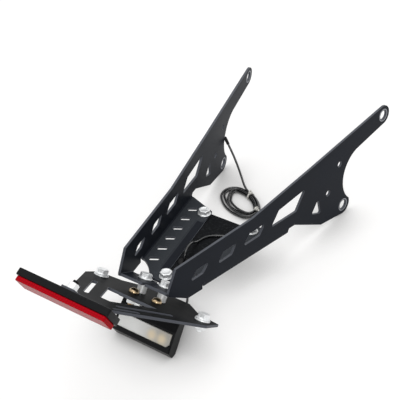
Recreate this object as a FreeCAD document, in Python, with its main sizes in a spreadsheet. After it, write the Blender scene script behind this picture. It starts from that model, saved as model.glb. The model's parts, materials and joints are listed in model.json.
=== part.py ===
import FreeCAD, Part
import math
import os
import Sketcher
from FreeCAD import Placement, Rotation, Vector

# Short rear fender kit: two mirrored folded side plates, a centre panel,
# a tapered number plate bracket with light and reflector, and a coiled cable.
# It is modelled level on its panel folds (X across, Y towards the mounting
# arms, Z up) and then set down on a table, on the lobes and the light.

DIMENSIONS = {
    # Folded sheet
    "sheet_gauge": 2.5,
    "bracket_gauge": 2.5,
    "fold_radius": 4.0,
    # Side plates
    "half_gap": 64.7,
    "splay_angle": 10.8,
    "lean_angle": 3.0,
    "arm_hole_y": 113.6,
    "arm_hole_z": 73.2,
    "arm_end_radius": 10.3,
    "lobe_hole_y": 51.4,
    "lobe_hole_z": -5.7,
    "lobe_radius": 10.5,
    "lobe_length": 36.0,
    "lobe_rise": 2.9,
    "waist_radius": 31.0,
    "waist_top_y": 69.9,
    "waist_top_z": 51.5,
    "mount_hole": 10.0,
    "small_hole": 6.0,
    "upper_hole_y": 42.9,
    "upper_hole_z": 45.1,
    "lower_hole_y": 25.7,
    "lower_hole_z": 19.0,
    "wall_rear_top": 37.5,
    "wall_kink_y": -86.5,
    "wall_kink_z": 42.5,
    "wall_mid_top": 59.7,
    "wall_rear_y": -184.0,
    "flange_rear_y": -194.6,
    "flange_front_y": -172.0,
    "flange_rear_z": 14.0,
    "rear_edge": 3.0,
    "notch_y": -35.5,
    "notch_z": 6.4,
    "notch_corner": 1.5,
    "notch_length": 9.5,
    "relief_width": 3.0,
    "cutout_radius": 1.6,
    # Slotted panel folded in from each side plate
    "panel_width": 32.0,
    "panel_sweep": 17.0,
    "panel_rear_y": -150.5,
    "panel_tail_y": -174.0,
    "panel_tail_half": 13.0,
    "panel_tail_rise": 3.0,
    "panel_tail_radius": 40.0,
    "slot_length": 7.0,
    "slot_width": 4.6,
    "slot_first_y": -57.0,
    "slot_inset": 12.5,
    "slot_angle": 21.0,
    "slot_pitch": 17.8,
    "slot_count": 6,
    # Rear flange, parallel to the bracket
    "bracket_angle": 33.0,
    "flange_length": 26.0,
    "flange_split": 1.5,
    # Centre panel under the slotted panels
    "centre_front_y": -47.0,
    "centre_front_half": 36.0,
    "centre_rear_y": -163.0,
    "centre_rear_half": 11.0,
    # Number plate bracket
    "flange_front_run": 5.82,
    "spacer_height": 10.89,
    "neck_half": 20.0,
    "neck_front": 26.0,
    "ear_half": 67.0,
    "ear_root_half": 43.3,
    "ear_root_front": 3.0,
    "ear_front": 2.5,
    "ear_rear": 24.0,
    "ear_bolt_half": 56.0,
    "ear_bolt_run": 13.5,
    "taper_run": 119.0,
    "tab_half": 17.0,
    "tab_length": 25.0,
    "tab_bend": 27.0,
    "tab_taper": 11.0,
    "window_front": 43.0,
    "window_rear": 85.0,
    "window_front_half": 26.0,
    "window_rear_half": 5.0,
    "rail_slot_width": 4.5,
    "rail_slot_length": 52.0,
    "rail_slot_half": 29.0,
    "rail_slot_run": 66.5,
    "plate_slot_width": 4.0,
    "plate_slot_length": 22.0,
    "plate_slot_half": 26.5,
    "plate_slot_run": 91.0,
    # Fasteners
    "bolt_diameter": 6.0,
    "hole_clearance": 0.3,
    "thread_clearance": 0.1,
    "head_across": 10.0,
    "head_height": 4.0,
    "head_flange": 13.0,
    "head_flange_height": 1.4,
    "washer_diameter": 14.0,
    "washer_thickness": 1.2,
    "nut_height": 5.0,
    "thread_spare": 2.5,
    "front_bolt_x": 27.5,
    "front_bolt_y": -53.5,
    "rear_bolt_y": -156.5,
    "flange_bolt_half": 11.0,
    "flange_bolt_run": 6.8,
    "spacer_diameter": 9.0,
    # Number plate light
    "light_half": 32.0,
    "light_wall": 2.2,
    "light_face_run": 7.0,
    "light_lens_top": 24.5,
    "light_lens_drop": 15.5,
    "light_back_run": 6.0,
    "light_depth": 46.67,
    "light_toe_run": 2.0,
    "light_back_top": 9.0,
    "light_neck_run": 3.0,
    "light_shoulder_run": 4.0,
    "foot_half": 22.0,
    "foot_run": 31.0,
    "foot_thickness": 3.5,
    "lens_thickness": 3.0,
    "lens_margin": 2.6,
    "cavity_depth": 10.0,
    "gasket_thickness": 1.2,
    "gasket_width": 2.0,
    "fit_clearance": 0.15,
    "board_thickness": 1.6,
    "led_size": 4.0,
    "led_height": 2.4,
    "led_pitch": 11.0,
    "led_middle": 15.0,
    "led_count": 2,
    "light_bolt_half": 12.5,
    "light_bolt_run": 22.0,
    "light_bolt_diameter": 5.0,
    "dome_diameter": 9.5,
    "dome_crown": 5.4,
    "dome_height": 4.4,
    "light_nut_across": 8.0,
    "light_nut_height": 4.0,
    "gland_diameter": 7.0,
    "gland_length": 5.0,
    "gland_x": 10.0,
    "gland_drop": 16.5,
    "gland_lead": 6.5,
    # Reflector
    "reflector_length": 92.0,
    "reflector_height": 21.0,
    "reflector_base_depth": 7.0,
    "reflector_lens_depth": 3.6,
    "reflector_rim": 1.4,
    "reflector_corner": 2.0,
    "stud_diameter": 5.0,
    "stud_nut_across": 8.0,
    "stud_nut_height": 4.5,
    "stud_run": 19.0,
    "stud_washer_diameter": 11.0,
    # Cable
    "cable_diameter": 2.4,
    "cable_rest_gap": 0.1,
    "grommet_x": 0.0,
    "grommet_y": -128.0,
    "grommet_diameter": 9.0,
    "grommet_lip": 1.4,
    "sleeve_diameter": 3.6,
    "sleeve_length": 9.0,
    "coil_half_width": 13.2,
    "coil_half_length": 24.0,
    "coil_end_radius": 9.0,
    "coil_section": 4.5,
    "coil_x": -25.3,
    "coil_y": 9.9,
    "coil_turn": 61.6,
    "lead_angle": -29.0,
    "tail_angle": 13.7,
    "upper_tie_angle": 4.4,
    "lower_tie_angle": -52.0,
    "tie_width": 3.5,
    "tie_thickness": 0.9,
    "tie_lock": 4.6,
    "tie_clearance": 0.4,
    # Rest on the table
    "rest_pitch": 8.4,
}

doc = FreeCAD.newDocument("rear_fender_kit")
sheet = doc.addObject("Spreadsheet::Sheet", "dims")
for row, (alias, value) in enumerate(DIMENSIONS.items(), start=1):
    sheet.set(f"A{row}", alias)
    sheet.set(f"B{row}", str(value))
    sheet.setAlias(f"B{row}", alias)
doc.recompute()


def dim(alias):
    return float(sheet.get(alias))


def bind(thing, prop, rule):
    thing.setExpression(prop, rule)


def rule_value(rule):
    return float(sheet.evalExpression(rule.replace("dims.", "")))


AXIS_X = Vector(1, 0, 0)
AXIS_Z = Vector(0, 0, 1)


# Sketch and body helpers

def new_body(label, place=None):
    body = doc.addObject("PartDesign::Body", label)
    body.Label = label
    if place is not None:
        body.Placement = place
    return body


def plane_of(body, role):
    for feature in body.Origin.OriginFeatures:
        if feature.Role == role:
            return feature
    raise ValueError(role)


def new_sketch(body, name, role, offset=None):
    sketch = body.newObject("Sketcher::SketchObject", name)
    sketch.AttachmentSupport = [(plane_of(body, role), "")]
    sketch.MapMode = "FlatFace"
    if offset is not None:
        sketch.AttachmentOffset = offset
    return sketch


def pin_point(sketch, piece, point, rules):
    for axis, rule in zip("XY", rules):
        if rule == "0":
            sketch.addConstraint(Sketcher.Constraint("PointOnObject", piece, point, -2 if axis == "X" else -1))
            continue
        index = sketch.addConstraint(
            Sketcher.Constraint("Distance" + axis, -1, 1, piece, point, rule_value(rule)))
        bind(sketch, f"Constraints[{index}]", rule)


def arc_piece(start, end, radius, side):
    chord = end - start
    left = Vector(-chord.y, chord.x, 0).normalize()
    rise = math.sqrt(max(radius ** 2 - (chord.Length / 2) ** 2, 0.0))
    centre = (start + end) * 0.5 + left * (side * rise)
    first, last = (start, end) if side > 0 else (end, start)
    turn = [math.atan2(p.y - centre.y, p.x - centre.x) for p in (first, last)]
    return Part.ArcOfCircle(Part.Circle(centre, AXIS_Z, radius), turn[0], turn[1])


def draw_outline(sketch, corners):
    # Each corner is (x rule, y rule) or (x rule, y rule, radius rule, side):
    # with a radius, the edge that leaves the corner is an arc.
    places = [Vector(rule_value(c[0]), rule_value(c[1]), 0) for c in corners]
    first_piece = sketch.GeometryCount
    ends = []
    for index, corner in enumerate(corners):
        start = places[index]
        end = places[(index + 1) % len(places)]
        if len(corner) == 4:
            piece = sketch.addGeometry(arc_piece(start, end, rule_value(corner[2]), corner[3]))
            ends.append((1, 2) if corner[3] > 0 else (2, 1))
            count = sketch.addConstraint(Sketcher.Constraint("Radius", piece, rule_value(corner[2])))
            bind(sketch, f"Constraints[{count}]", corner[2])
        else:
            piece = sketch.addGeometry(Part.LineSegment(start, end))
            ends.append((1, 2))
    for index, corner in enumerate(corners):
        after = (index + 1) % len(corners)
        sketch.addConstraint(Sketcher.Constraint(
            "Coincident", first_piece + index, ends[index][1], first_piece + after, ends[after][0]))
        pin_point(sketch, first_piece + index, ends[index][0], corner[:2])


def draw_circle(sketch, x_rule, y_rule, diameter_rule):
    centre = Vector(rule_value(x_rule), rule_value(y_rule), 0)
    piece = sketch.addGeometry(Part.Circle(centre, AXIS_Z, rule_value(diameter_rule) / 2))
    pin_point(sketch, piece, 3, (x_rule, y_rule))
    index = sketch.addConstraint(Sketcher.Constraint("Diameter", piece, rule_value(diameter_rule)))
    bind(sketch, f"Constraints[{index}]", diameter_rule)


def pad(body, sketch, length_rule, reverse=False):
    feature = body.newObject("PartDesign::Pad", sketch.Name + "_pad")
    feature.Profile = sketch
    feature.Reversed = reverse
    bind(feature, "Length", length_rule)
    body.Tip = feature
    doc.recompute()
    return feature


def cut_through(body, sketch):
    before = body.Shape.Volume
    feature = body.newObject("PartDesign::Pocket", sketch.Name + "_cut")
    feature.Profile = sketch
    feature.Type = "ThroughAll"
    feature.SideType = "Symmetric"
    body.Tip = feature
    doc.recompute()
    if body.Shape.Volume > before - 1e-6:
        raise ValueError(sketch.Name + " cuts nothing")
    return feature


def round_edges(body, radius_rule, chosen):
    base = body.Tip
    names = [f"Edge{i}" for i, edge in enumerate(base.Shape.Edges, start=1) if chosen(edge)]
    feature = body.newObject("PartDesign::Fillet", body.Name + f"_round{len(body.Group)}")
    feature.Base = (base, names)
    bind(feature, "Radius", radius_rule)
    body.Tip = feature
    doc.recompute()
    return feature


# Fastener and turned-part helpers

def at(frame, x, y, z):
    return frame.multiply(Placement(Vector(x, y, z), Rotation()))


def cylinder(name, diameter_rule, height_rule, place):
    piece = doc.addObject("Part::Cylinder", name)
    bind(piece, "Radius", f"({diameter_rule}) / 2")
    bind(piece, "Height", height_rule)
    piece.Placement = place
    return piece


def hexagon(name, across_rule, height_rule, place):
    piece = doc.addObject("Part::Prism", name)
    piece.Polygon = 6
    bind(piece, "Circumradius", f"({across_rule}) / 2 / cos(30 deg)")
    bind(piece, "Height", height_rule)
    piece.Placement = place
    return piece


def fused(name, pieces):
    joint = doc.addObject("Part::MultiFuse", name)
    joint.Shapes = pieces
    joint.Refine = True
    return joint


def bored(name, outer, bore):
    result = doc.addObject("Part::Cut", name)
    result.Base = outer
    result.Tool = bore
    return result


def group(label, pieces):
    bunch = doc.addObject("Part::Compound", label)
    bunch.Label = label
    bunch.Links = pieces
    return bunch


def hex_bolt(name, place, shank_rule):
    # Flanged hexagon bolt: place is the underside of its head, Z along the axis.
    flange = cylinder(name + "_flange", "dims.head_flange", "dims.head_flange_height", place)
    head = hexagon(name + "_hex", "dims.head_across", "dims.head_height", at(place, 0, 0, dim("head_flange_height")))
    shank = cylinder(name + "_shank", "dims.bolt_diameter", shank_rule, at(place, 0, 0, -rule_value(shank_rule)))
    return fused(name, [flange, head, shank])


def washer(name, place):
    outer = cylinder(name + "_disc", "dims.washer_diameter", "dims.washer_thickness", place)
    bore = cylinder(name + "_bore", "dims.bolt_diameter + 2 * dims.hole_clearance", "dims.washer_thickness", place)
    return bored(name, outer, bore)


def hex_nut(name, place, across_rule, height_rule, bolt_rule):
    outer = hexagon(name + "_hex", across_rule, height_rule, place)
    bore = cylinder(name + "_bore", f"{bolt_rule} + 2 * dims.thread_clearance", height_rule, place)
    return bored(name, outer, bore)


# Side plates

SPLAY = "dims.splay_angle * 1 deg"
LEAN = "dims.lean_angle * 1 deg"
TILT = "dims.bracket_angle * 1 deg"
side_place = Placement(Vector(dim("half_gap"), 0, 0), Rotation(AXIS_Z, -dim("splay_angle")))
side = new_body("right_side_plate", side_place)

# The wall starts above the fold and leans inwards.
FOLD_START = f"dims.fold_radius / tan((90 deg - {LEAN}) / 2)"
leaning = Placement(Vector(), Rotation(AXIS_X, -dim("lean_angle")))
wall = new_sketch(side, "wall", "YZ_Plane", leaning)
draw_outline(wall, [
    ("dims.flange_front_y", "0"),
    ("dims.panel_rear_y - dims.relief_width", "0"),
    ("dims.panel_rear_y - dims.relief_width", FOLD_START + " + dims.relief_width / 2"),
    ("dims.panel_rear_y", FOLD_START + " + dims.relief_width / 2"),
    ("dims.panel_rear_y", FOLD_START),
    ("dims.notch_y", FOLD_START),
    ("dims.notch_y + dims.notch_corner", "dims.notch_z"),
    ("dims.notch_y + dims.notch_length", "dims.notch_z"),
    ("dims.lobe_hole_y - dims.lobe_length", "dims.lobe_hole_z - dims.lobe_radius + dims.lobe_rise"),
    ("dims.lobe_hole_y", "dims.lobe_hole_z - dims.lobe_radius", "dims.lobe_radius", 1),
    ("dims.lobe_hole_y + dims.lobe_radius * cos(25 deg)", "dims.lobe_hole_z + dims.lobe_radius * sin(25 deg)",
     "dims.waist_radius", -1),
    ("dims.waist_top_y", "dims.waist_top_z"),
    ("dims.arm_hole_y + dims.arm_end_radius * sin(14 deg)", "dims.arm_hole_z - dims.arm_end_radius * cos(14 deg)",
     "dims.arm_end_radius", 1),
    ("dims.arm_hole_y + dims.arm_end_radius * cos(35 deg)", "dims.arm_hole_z + dims.arm_end_radius * sin(35 deg)",
     "dims.arm_end_radius", 1),
    ("dims.arm_hole_y - dims.arm_end_radius * sin(13 deg)", "dims.arm_hole_z + dims.arm_end_radius * cos(13 deg)"),
    ("0", "dims.wall_mid_top"),
    ("dims.wall_kink_y", "dims.wall_kink_z"),
    ("dims.wall_rear_y", "dims.wall_rear_top"),
    ("dims.flange_rear_y", "dims.flange_rear_z + dims.rear_edge"),
    ("dims.flange_rear_y", "dims.flange_rear_z"),
])
pad(side, wall, "dims.sheet_gauge", reverse=True)

# Lightening holes: a triangle by the lobe and four lozenges behind it
CUTOUTS = [
    [(10, 19.4), (0.3, 6.2), (14.4, 1.2)],
    [(-10.6, 40.2), (-49.6, 34.2), (-60.7, 20.3), (-23.9, 21)],
    [(-69.5, 29.3), (-91.5, 28), (-99.5, 18.5), (-77, 19.3)],
    [(-108, 27), (-126, 26), (-133, 16.7), (-115, 17.5)],
    [(-143.5, 25), (-160, 24), (-168.5, 15.7), (-152, 16.5)],
]
cutouts = new_sketch(side, "cutouts", "YZ_Plane", leaning)
for corners in CUTOUTS:
    draw_outline(cutouts, [(str(y), str(z)) for y, z in corners])
draw_circle(cutouts, "dims.arm_hole_y", "dims.arm_hole_z", "dims.mount_hole")
draw_circle(cutouts, "dims.lobe_hole_y", "dims.lobe_hole_z", "dims.mount_hole")
draw_circle(cutouts, "dims.upper_hole_y", "dims.upper_hole_z", "dims.small_hole")
draw_circle(cutouts, "dims.lower_hole_y", "dims.lower_hole_z", "dims.small_hole")
cut_through(side, cutouts)


def is_cutout_corner(edge):
    if len(edge.Vertexes) != 2 or edge.Length > 2 * dim("sheet_gauge"):
        return False
    along = edge.Vertexes[1].Point - edge.Vertexes[0].Point
    if abs(along.x) < 0.9 * along.Length:
        return False
    middle = edge.CenterOfMass
    return any(math.hypot(middle.y - y, middle.z - z) < 1.5 for shape in CUTOUTS for y, z in shape)


round_edges(side, "dims.cutout_radius", is_cutout_corner)

# The fold: an arc of constant gauge between wall and panel
fold = new_sketch(side, "fold", "XZ_Plane", Placement(Vector(0, 0, -dim("panel_rear_y")), Rotation()))
INNER = "(dims.fold_radius - dims.sheet_gauge)"
draw_outline(fold, [
    (f"-{FOLD_START}", "0", "dims.fold_radius", 1),
    (f"-{FOLD_START} * sin({LEAN})", f"{FOLD_START} * cos({LEAN})"),
    (f"-{FOLD_START} * sin({LEAN}) - dims.sheet_gauge * cos({LEAN})",
     f"{FOLD_START} * cos({LEAN}) - dims.sheet_gauge * sin({LEAN})", INNER, -1),
    (f"-{FOLD_START}", "dims.sheet_gauge"),
])
pad(side, fold, "dims.notch_y - dims.panel_rear_y", reverse=True)

# Slotted panel, swept back at the front and rounded off at the tail
panel = new_sketch(side, "panel", "XY_Plane")
draw_outline(panel, [
    (f"-{FOLD_START}", "dims.notch_y"),
    ("-dims.panel_width", "dims.notch_y - dims.panel_sweep"),
    ("-dims.panel_width", "dims.panel_tail_y"),
    ("-dims.panel_width + dims.panel_tail_half", "dims.panel_tail_y + dims.panel_tail_rise",
     "dims.panel_tail_radius", -1),
    (f"-{FOLD_START}", "dims.panel_rear_y"),
])
pad(side, panel, "dims.sheet_gauge")


def turned_slot(sketch, x_rule, y_rule, length_rule, width_rule, angle_rule):
    # Long hole with rounded ends, its length turned by the angle from X
    half_l = f"({length_rule}) / 2"
    half_w = f"({width_rule}) / 2"
    corners = []
    for along, across in ((-1, -1), (1, -1), (1, 1), (-1, 1)):
        x = f"{x_rule} + {along} * {half_l} * cos({angle_rule}) - {across} * {half_w} * sin({angle_rule})"
        y = f"{y_rule} + {along} * {half_l} * sin({angle_rule}) + {across} * {half_w} * cos({angle_rule})"
        end = (along, across) in ((1, -1), (-1, 1))
        corners.append((x, y, f"({width_rule}) * 0.55", 1) if end else (x, y))
    draw_outline(sketch, corners)


slots = new_sketch(side, "slots", "XY_Plane")
for count in range(round(dim("slot_count"))):
    turned_slot(slots, "-dims.slot_inset", f"dims.slot_first_y - {count} * dims.slot_pitch",
                "dims.slot_length", "dims.slot_width", "-dims.slot_angle * 1 deg")


def local_x(x, y):
    # From the level frame to the right plate's own frame
    return f"(({x}) - dims.half_gap) * cos({SPLAY}) - ({y}) * sin({SPLAY})"


def local_y(x, y):
    return f"(({x}) - dims.half_gap) * sin({SPLAY}) + ({y}) * cos({SPLAY})"


BOLT_HOLE = "dims.bolt_diameter + 2 * dims.hole_clearance"
draw_circle(slots, local_x("dims.front_bolt_x", "dims.front_bolt_y"),
            local_y("dims.front_bolt_x", "dims.front_bolt_y"), BOLT_HOLE)
cut_through(side, slots)

# Half of the rear bolt's hole is in each panel, where the two meet.
half_hole = new_sketch(side, "half_hole", "XY_Plane")
draw_circle(half_hole, local_x("0", "dims.rear_bolt_y"), local_y("0", "dims.rear_bolt_y"), BOLT_HOLE)
cut_through(side, half_hole)

# Rear flange, turned in under the wall and parallel to the bracket
flange_turn = Rotation(AXIS_Z, dim("splay_angle")).multiply(Rotation(AXIS_X, -dim("bracket_angle")))
flange = new_sketch(side, "flange", "XY_Plane", Placement(Vector(0, dim("flange_front_y"), 0), flange_turn))
FLANGE_PLACE = "(dims.flange_front_run + dims.flange_bolt_run)"
FLANGE_X = f"(dims.half_gap + dims.flange_front_y * sin({SPLAY}))"
FLANGE_SLIP = f"dims.flange_length * cos({TILT}) * tan({SPLAY})"
draw_outline(flange, [
    ("-dims.sheet_gauge / 3", "0"),
    (f"-dims.sheet_gauge / 3 - {FLANGE_SLIP}", "-dims.flange_length"),
    (f"dims.flange_split - {FLANGE_X}", "-dims.flange_length"),
    (f"dims.flange_split - {FLANGE_X}", "0"),
])
pad(side, flange, "dims.sheet_gauge")
flange_hole = new_sketch(side, "flange_hole", "XY_Plane", flange.AttachmentOffset)
draw_circle(flange_hole, f"dims.flange_bolt_half - {FLANGE_X}", "-dims.flange_bolt_run", BOLT_HOLE)
bore = side.newObject("PartDesign::Pocket", "flange_bore")
bore.Profile = flange_hole
bore.Type = "Length"
bore.SideType = "Symmetric"
bind(bore, "Length", "dims.sheet_gauge * 3")
side.Tip = bore
doc.recompute()

left = doc.addObject("Part::Mirroring", "left_side_plate")
left.Label = "left_side_plate"
left.Source = side
left.Normal = AXIS_X
left.Base = Vector()

# Centre panel, under the two slotted panels
centre = new_body("centre_panel")
tray = new_sketch(centre, "tray", "XY_Plane")
draw_outline(tray, [
    ("-dims.centre_front_half", "dims.centre_front_y"),
    ("-dims.centre_rear_half", "dims.centre_rear_y"),
    ("dims.centre_rear_half", "dims.centre_rear_y"),
    ("dims.centre_front_half", "dims.centre_front_y"),
])
pad(centre, tray, "dims.sheet_gauge", reverse=True)
tray_holes = new_sketch(centre, "tray_holes", "XY_Plane")
draw_circle(tray_holes, "dims.front_bolt_x", "dims.front_bolt_y", BOLT_HOLE)
draw_circle(tray_holes, "-dims.front_bolt_x", "dims.front_bolt_y", BOLT_HOLE)
draw_circle(tray_holes, "0", "dims.rear_bolt_y", BOLT_HOLE)
draw_circle(tray_holes, "dims.grommet_x", "dims.grommet_y", "dims.grommet_diameter")
cut_through(centre, tray_holes)

# Number plate bracket, a spacer's height under the flanges:
# runs are measured rearwards along it from its origin
bracket_turn = Rotation(AXIS_X, -dim("bracket_angle"))
flange_foot = Vector(0, dim("flange_front_y") * math.cos(math.radians(dim("splay_angle"))), 0)
foot_in_bracket = Vector(0, -dim("flange_front_run"), dim("spacer_height"))
bracket_place = Placement(flange_foot - bracket_turn.multVec(foot_in_bracket), bracket_turn)
bracket = new_body("plate_bracket", bracket_place)
half_outline = [
    ("dims.neck_half", "dims.neck_front"),
    ("dims.ear_root_half", "dims.ear_root_front"),
    ("dims.ear_half", "-dims.ear_front"),
    ("dims.ear_half", "-dims.ear_rear"),
    ("dims.tab_half", "-dims.taper_run"),
]
frame = new_sketch(bracket, "frame", "XY_Plane")
draw_outline(frame, half_outline + [(f"-{x}", y) for x, y in reversed(half_outline)])
pad(bracket, frame, "dims.bracket_gauge", reverse=True)

tab_turn = Placement(Vector(0, -dim("taper_run"), 0), Rotation(AXIS_X, -dim("tab_bend")))
tab = new_sketch(bracket, "tab", "XY_Plane", tab_turn)
draw_outline(tab, [
    ("-dims.tab_half", "dims.bracket_gauge / 2"),
    ("dims.tab_half", "dims.bracket_gauge / 2"),
    ("dims.tab_half - dims.tab_taper", "-dims.tab_length"),
    ("dims.tab_taper - dims.tab_half", "-dims.tab_length"),
])
pad(bracket, tab, "dims.bracket_gauge", reverse=True)

windows = new_sketch(bracket, "windows", "XY_Plane")
draw_outline(windows, [
    ("-dims.window_front_half", "-dims.window_front"),
    ("-dims.window_rear_half", "-dims.window_rear"),
    ("dims.window_rear_half", "-dims.window_rear"),
    ("dims.window_front_half", "-dims.window_front"),
])
EDGE_ANGLE = "atan((dims.taper_run - dims.ear_rear) / (dims.ear_half - dims.tab_half))"
for side_sign in (1, -1):
    turned_slot(windows, f"{side_sign} * dims.rail_slot_half", "-dims.rail_slot_run",
                "dims.rail_slot_length", "dims.rail_slot_width", f"{side_sign} * {EDGE_ANGLE}")
    turned_slot(windows, f"{side_sign} * dims.plate_slot_half", "-dims.plate_slot_run",
                "dims.plate_slot_length", "dims.plate_slot_width", f"{side_sign} * {EDGE_ANGLE}")
    draw_circle(windows, f"{side_sign} * dims.ear_bolt_half", "-dims.ear_bolt_run", BOLT_HOLE)
    draw_circle(windows, f"{side_sign} * dims.flange_bolt_half", f"-{FLANGE_PLACE}", BOLT_HOLE)
    draw_circle(windows, f"{side_sign} * dims.light_bolt_half", "-dims.light_bolt_run",
                "dims.light_bolt_diameter + 2 * dims.hole_clearance")
cut_through(bracket, windows)
stud_hole = new_sketch(bracket, "stud_hole", "XY_Plane", tab_turn)
draw_circle(stud_hole, "0", "-dims.stud_run", "dims.stud_diameter + 2 * dims.hole_clearance")
cut_through(bracket, stud_hole)

# Fasteners

LEVEL = Placement()
panel_top = dim("sheet_gauge")
PANEL_STACK = "2 * dims.sheet_gauge + dims.washer_thickness + dims.nut_height + dims.thread_spare"
panel_spots = [
    (dim("front_bolt_x"), dim("front_bolt_y")),
    (-dim("front_bolt_x"), dim("front_bolt_y")),
    (0, dim("rear_bolt_y")),
]
panel_bolts = []
panel_washers = []
panel_nuts = []
for count, (x, y) in enumerate(panel_spots):
    panel_bolts.append(hex_bolt(f"panel_bolt{count}", at(LEVEL, x, y, panel_top), PANEL_STACK))
    below = -panel_top - dim("washer_thickness")
    panel_washers.append(washer(f"panel_washer{count}", at(LEVEL, x, y, below)))
    panel_nuts.append(hex_nut(f"panel_nut{count}", at(LEVEL, x, y, below - dim("nut_height")),
                              "dims.head_across", "dims.nut_height", "dims.bolt_diameter"))

flange_bolts = []
flange_spacers = []
flange_nuts = []
ear_bolts = []
ear_washers = []
ear_nuts = []
light_bolts = []
light_nuts = []
foot_under = -dim("bracket_gauge") - dim("foot_thickness")
NUT_END = "dims.nut_height + dims.thread_spare"
FLANGE_STACK = f"dims.sheet_gauge + dims.spacer_height + dims.bracket_gauge + dims.foot_thickness + {NUT_END}"
EAR_STACK = f"dims.washer_thickness + dims.bracket_gauge + {NUT_END}"
LIGHT_STACK = "dims.bracket_gauge + dims.foot_thickness + dims.light_nut_height + dims.thread_spare"
for name, sign in (("right", 1), ("left", -1)):
    x = sign * dim("flange_bolt_half")
    y = -rule_value(FLANGE_PLACE)
    flange_top = dim("spacer_height") + dim("sheet_gauge")
    flange_bolts.append(hex_bolt(name + "_flange_bolt", at(bracket_place, x, y, flange_top), FLANGE_STACK))
    spacer_spot = at(bracket_place, x, y, 0)
    spacer_tube = cylinder(name + "_spacer_tube", "dims.spacer_diameter", "dims.spacer_height", spacer_spot)
    spacer_bore = cylinder(name + "_spacer_bore", BOLT_HOLE, "dims.spacer_height", spacer_spot)
    flange_spacers.append(bored(name + "_spacer", spacer_tube, spacer_bore))
    flange_nuts.append(hex_nut(name + "_flange_nut", at(bracket_place, x, y, foot_under - dim("nut_height")),
                               "dims.head_across", "dims.nut_height", "dims.bolt_diameter"))
    x = sign * dim("ear_bolt_half")
    y = -dim("ear_bolt_run")
    ear_bolts.append(hex_bolt(name + "_ear_bolt", at(bracket_place, x, y, dim("washer_thickness")), EAR_STACK))
    ear_washers.append(washer(name + "_ear_washer", at(bracket_place, x, y, 0)))
    ear_nuts.append(hex_nut(name + "_ear_nut", at(bracket_place, x, y, -dim("bracket_gauge") - dim("nut_height")),
                            "dims.head_across", "dims.nut_height", "dims.bolt_diameter"))
    x = sign * dim("light_bolt_half")
    y = -dim("light_bolt_run")
    dome = doc.addObject("Part::Cone", name + "_dome")
    bind(dome, "Radius1", "dims.dome_diameter / 2")
    bind(dome, "Radius2", "dims.dome_crown / 2")
    bind(dome, "Height", "dims.dome_height")
    dome.Placement = at(bracket_place, x, y, 0)
    shank = cylinder(name + "_dome_shank", "dims.light_bolt_diameter", LIGHT_STACK,
                     at(bracket_place, x, y, -rule_value(LIGHT_STACK)))
    light_bolts.append(fused(name + "_light_bolt", [dome, shank]))
    light_nuts.append(hex_nut(name + "_light_nut", at(bracket_place, x, y, foot_under - dim("light_nut_height")),
                              "dims.light_nut_across", "dims.light_nut_height", "dims.light_bolt_diameter"))

# Number plate light, hung under the bracket: Y is minus the run, Z minus the drop
light = new_body("light_housing", bracket_place)
shell = new_sketch(light, "shell", "YZ_Plane")
FLOOR_SLOPE = "tan((dims.bracket_angle + dims.rest_pitch) * 1 deg)"
FACE_TOP = "dims.light_lens_top - dims.light_wall"
FACE_BOTTOM = "dims.light_lens_top + dims.light_lens_drop + dims.light_wall"
FOOT_UNDER = "dims.bracket_gauge + dims.foot_thickness"
draw_outline(shell, [
    ("-dims.light_neck_run", f"-({FOOT_UNDER})"),
    ("-dims.light_face_run", f"-({FACE_TOP})"),
    ("-dims.light_face_run", f"-({FACE_BOTTOM})"),
    ("dims.light_toe_run", "-dims.light_depth"),
    ("dims.light_back_run", f"-dims.light_depth + (dims.light_back_run - dims.light_toe_run) * {FLOOR_SLOPE}"),
    ("dims.light_back_run", "-dims.light_back_top"),
    ("dims.light_shoulder_run", f"-({FOOT_UNDER})"),
])
body_pad = pad(light, shell, "2 * dims.light_half")
body_pad.SideType = "Symmetric"
foot = new_sketch(light, "foot", "XY_Plane", Placement(Vector(0, 0, -dim("bracket_gauge")), Rotation()))
draw_outline(foot, [
    ("-dims.foot_half", "dims.light_shoulder_run"),
    ("-dims.foot_half", "-dims.foot_run"),
    ("dims.foot_half", "-dims.foot_run"),
    ("dims.foot_half", "dims.light_shoulder_run"),
])
pad(light, foot, "dims.foot_thickness", reverse=True)
foot_holes = new_sketch(light, "foot_holes", "XY_Plane", foot.AttachmentOffset)
for sign in (1, -1):
    draw_circle(foot_holes, f"{sign} * dims.flange_bolt_half", f"-({FLANGE_PLACE})", BOLT_HOLE)
    draw_circle(foot_holes, f"{sign} * dims.light_bolt_half", "-dims.light_bolt_run",
                "dims.light_bolt_diameter + 2 * dims.hole_clearance")
cut_through(light, foot_holes)

FACE = Placement(Vector(0, 0, dim("light_face_run")), Rotation())
CAVITY_HALF = "(dims.light_half - dims.lens_margin)"
CAVITY_TOP = "-dims.light_lens_top"
CAVITY_BOTTOM = "(-dims.light_lens_top - dims.light_lens_drop)"


def face_frame(sketch, inset_rule):
    # Rectangle on the light's face, set in from the cavity's sides
    draw_outline(sketch, [
        (f"-{CAVITY_HALF} + {inset_rule}", f"{CAVITY_BOTTOM} + {inset_rule}"),
        (f"{CAVITY_HALF} - {inset_rule}", f"{CAVITY_BOTTOM} + {inset_rule}"),
        (f"{CAVITY_HALF} - {inset_rule}", f"{CAVITY_TOP} - {inset_rule}"),
        (f"-{CAVITY_HALF} + {inset_rule}", f"{CAVITY_TOP} - {inset_rule}"),
    ])


def face_piece(label, depth, thickness_rule, inset_rule):
    body = new_body(label, bracket_place)
    sketch = new_sketch(body, label + "_face", "XZ_Plane",
                        Placement(Vector(0, 0, dim("light_face_run") - depth), Rotation()))
    face_frame(sketch, inset_rule)
    pad(body, sketch, thickness_rule, reverse=True)
    return body


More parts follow.
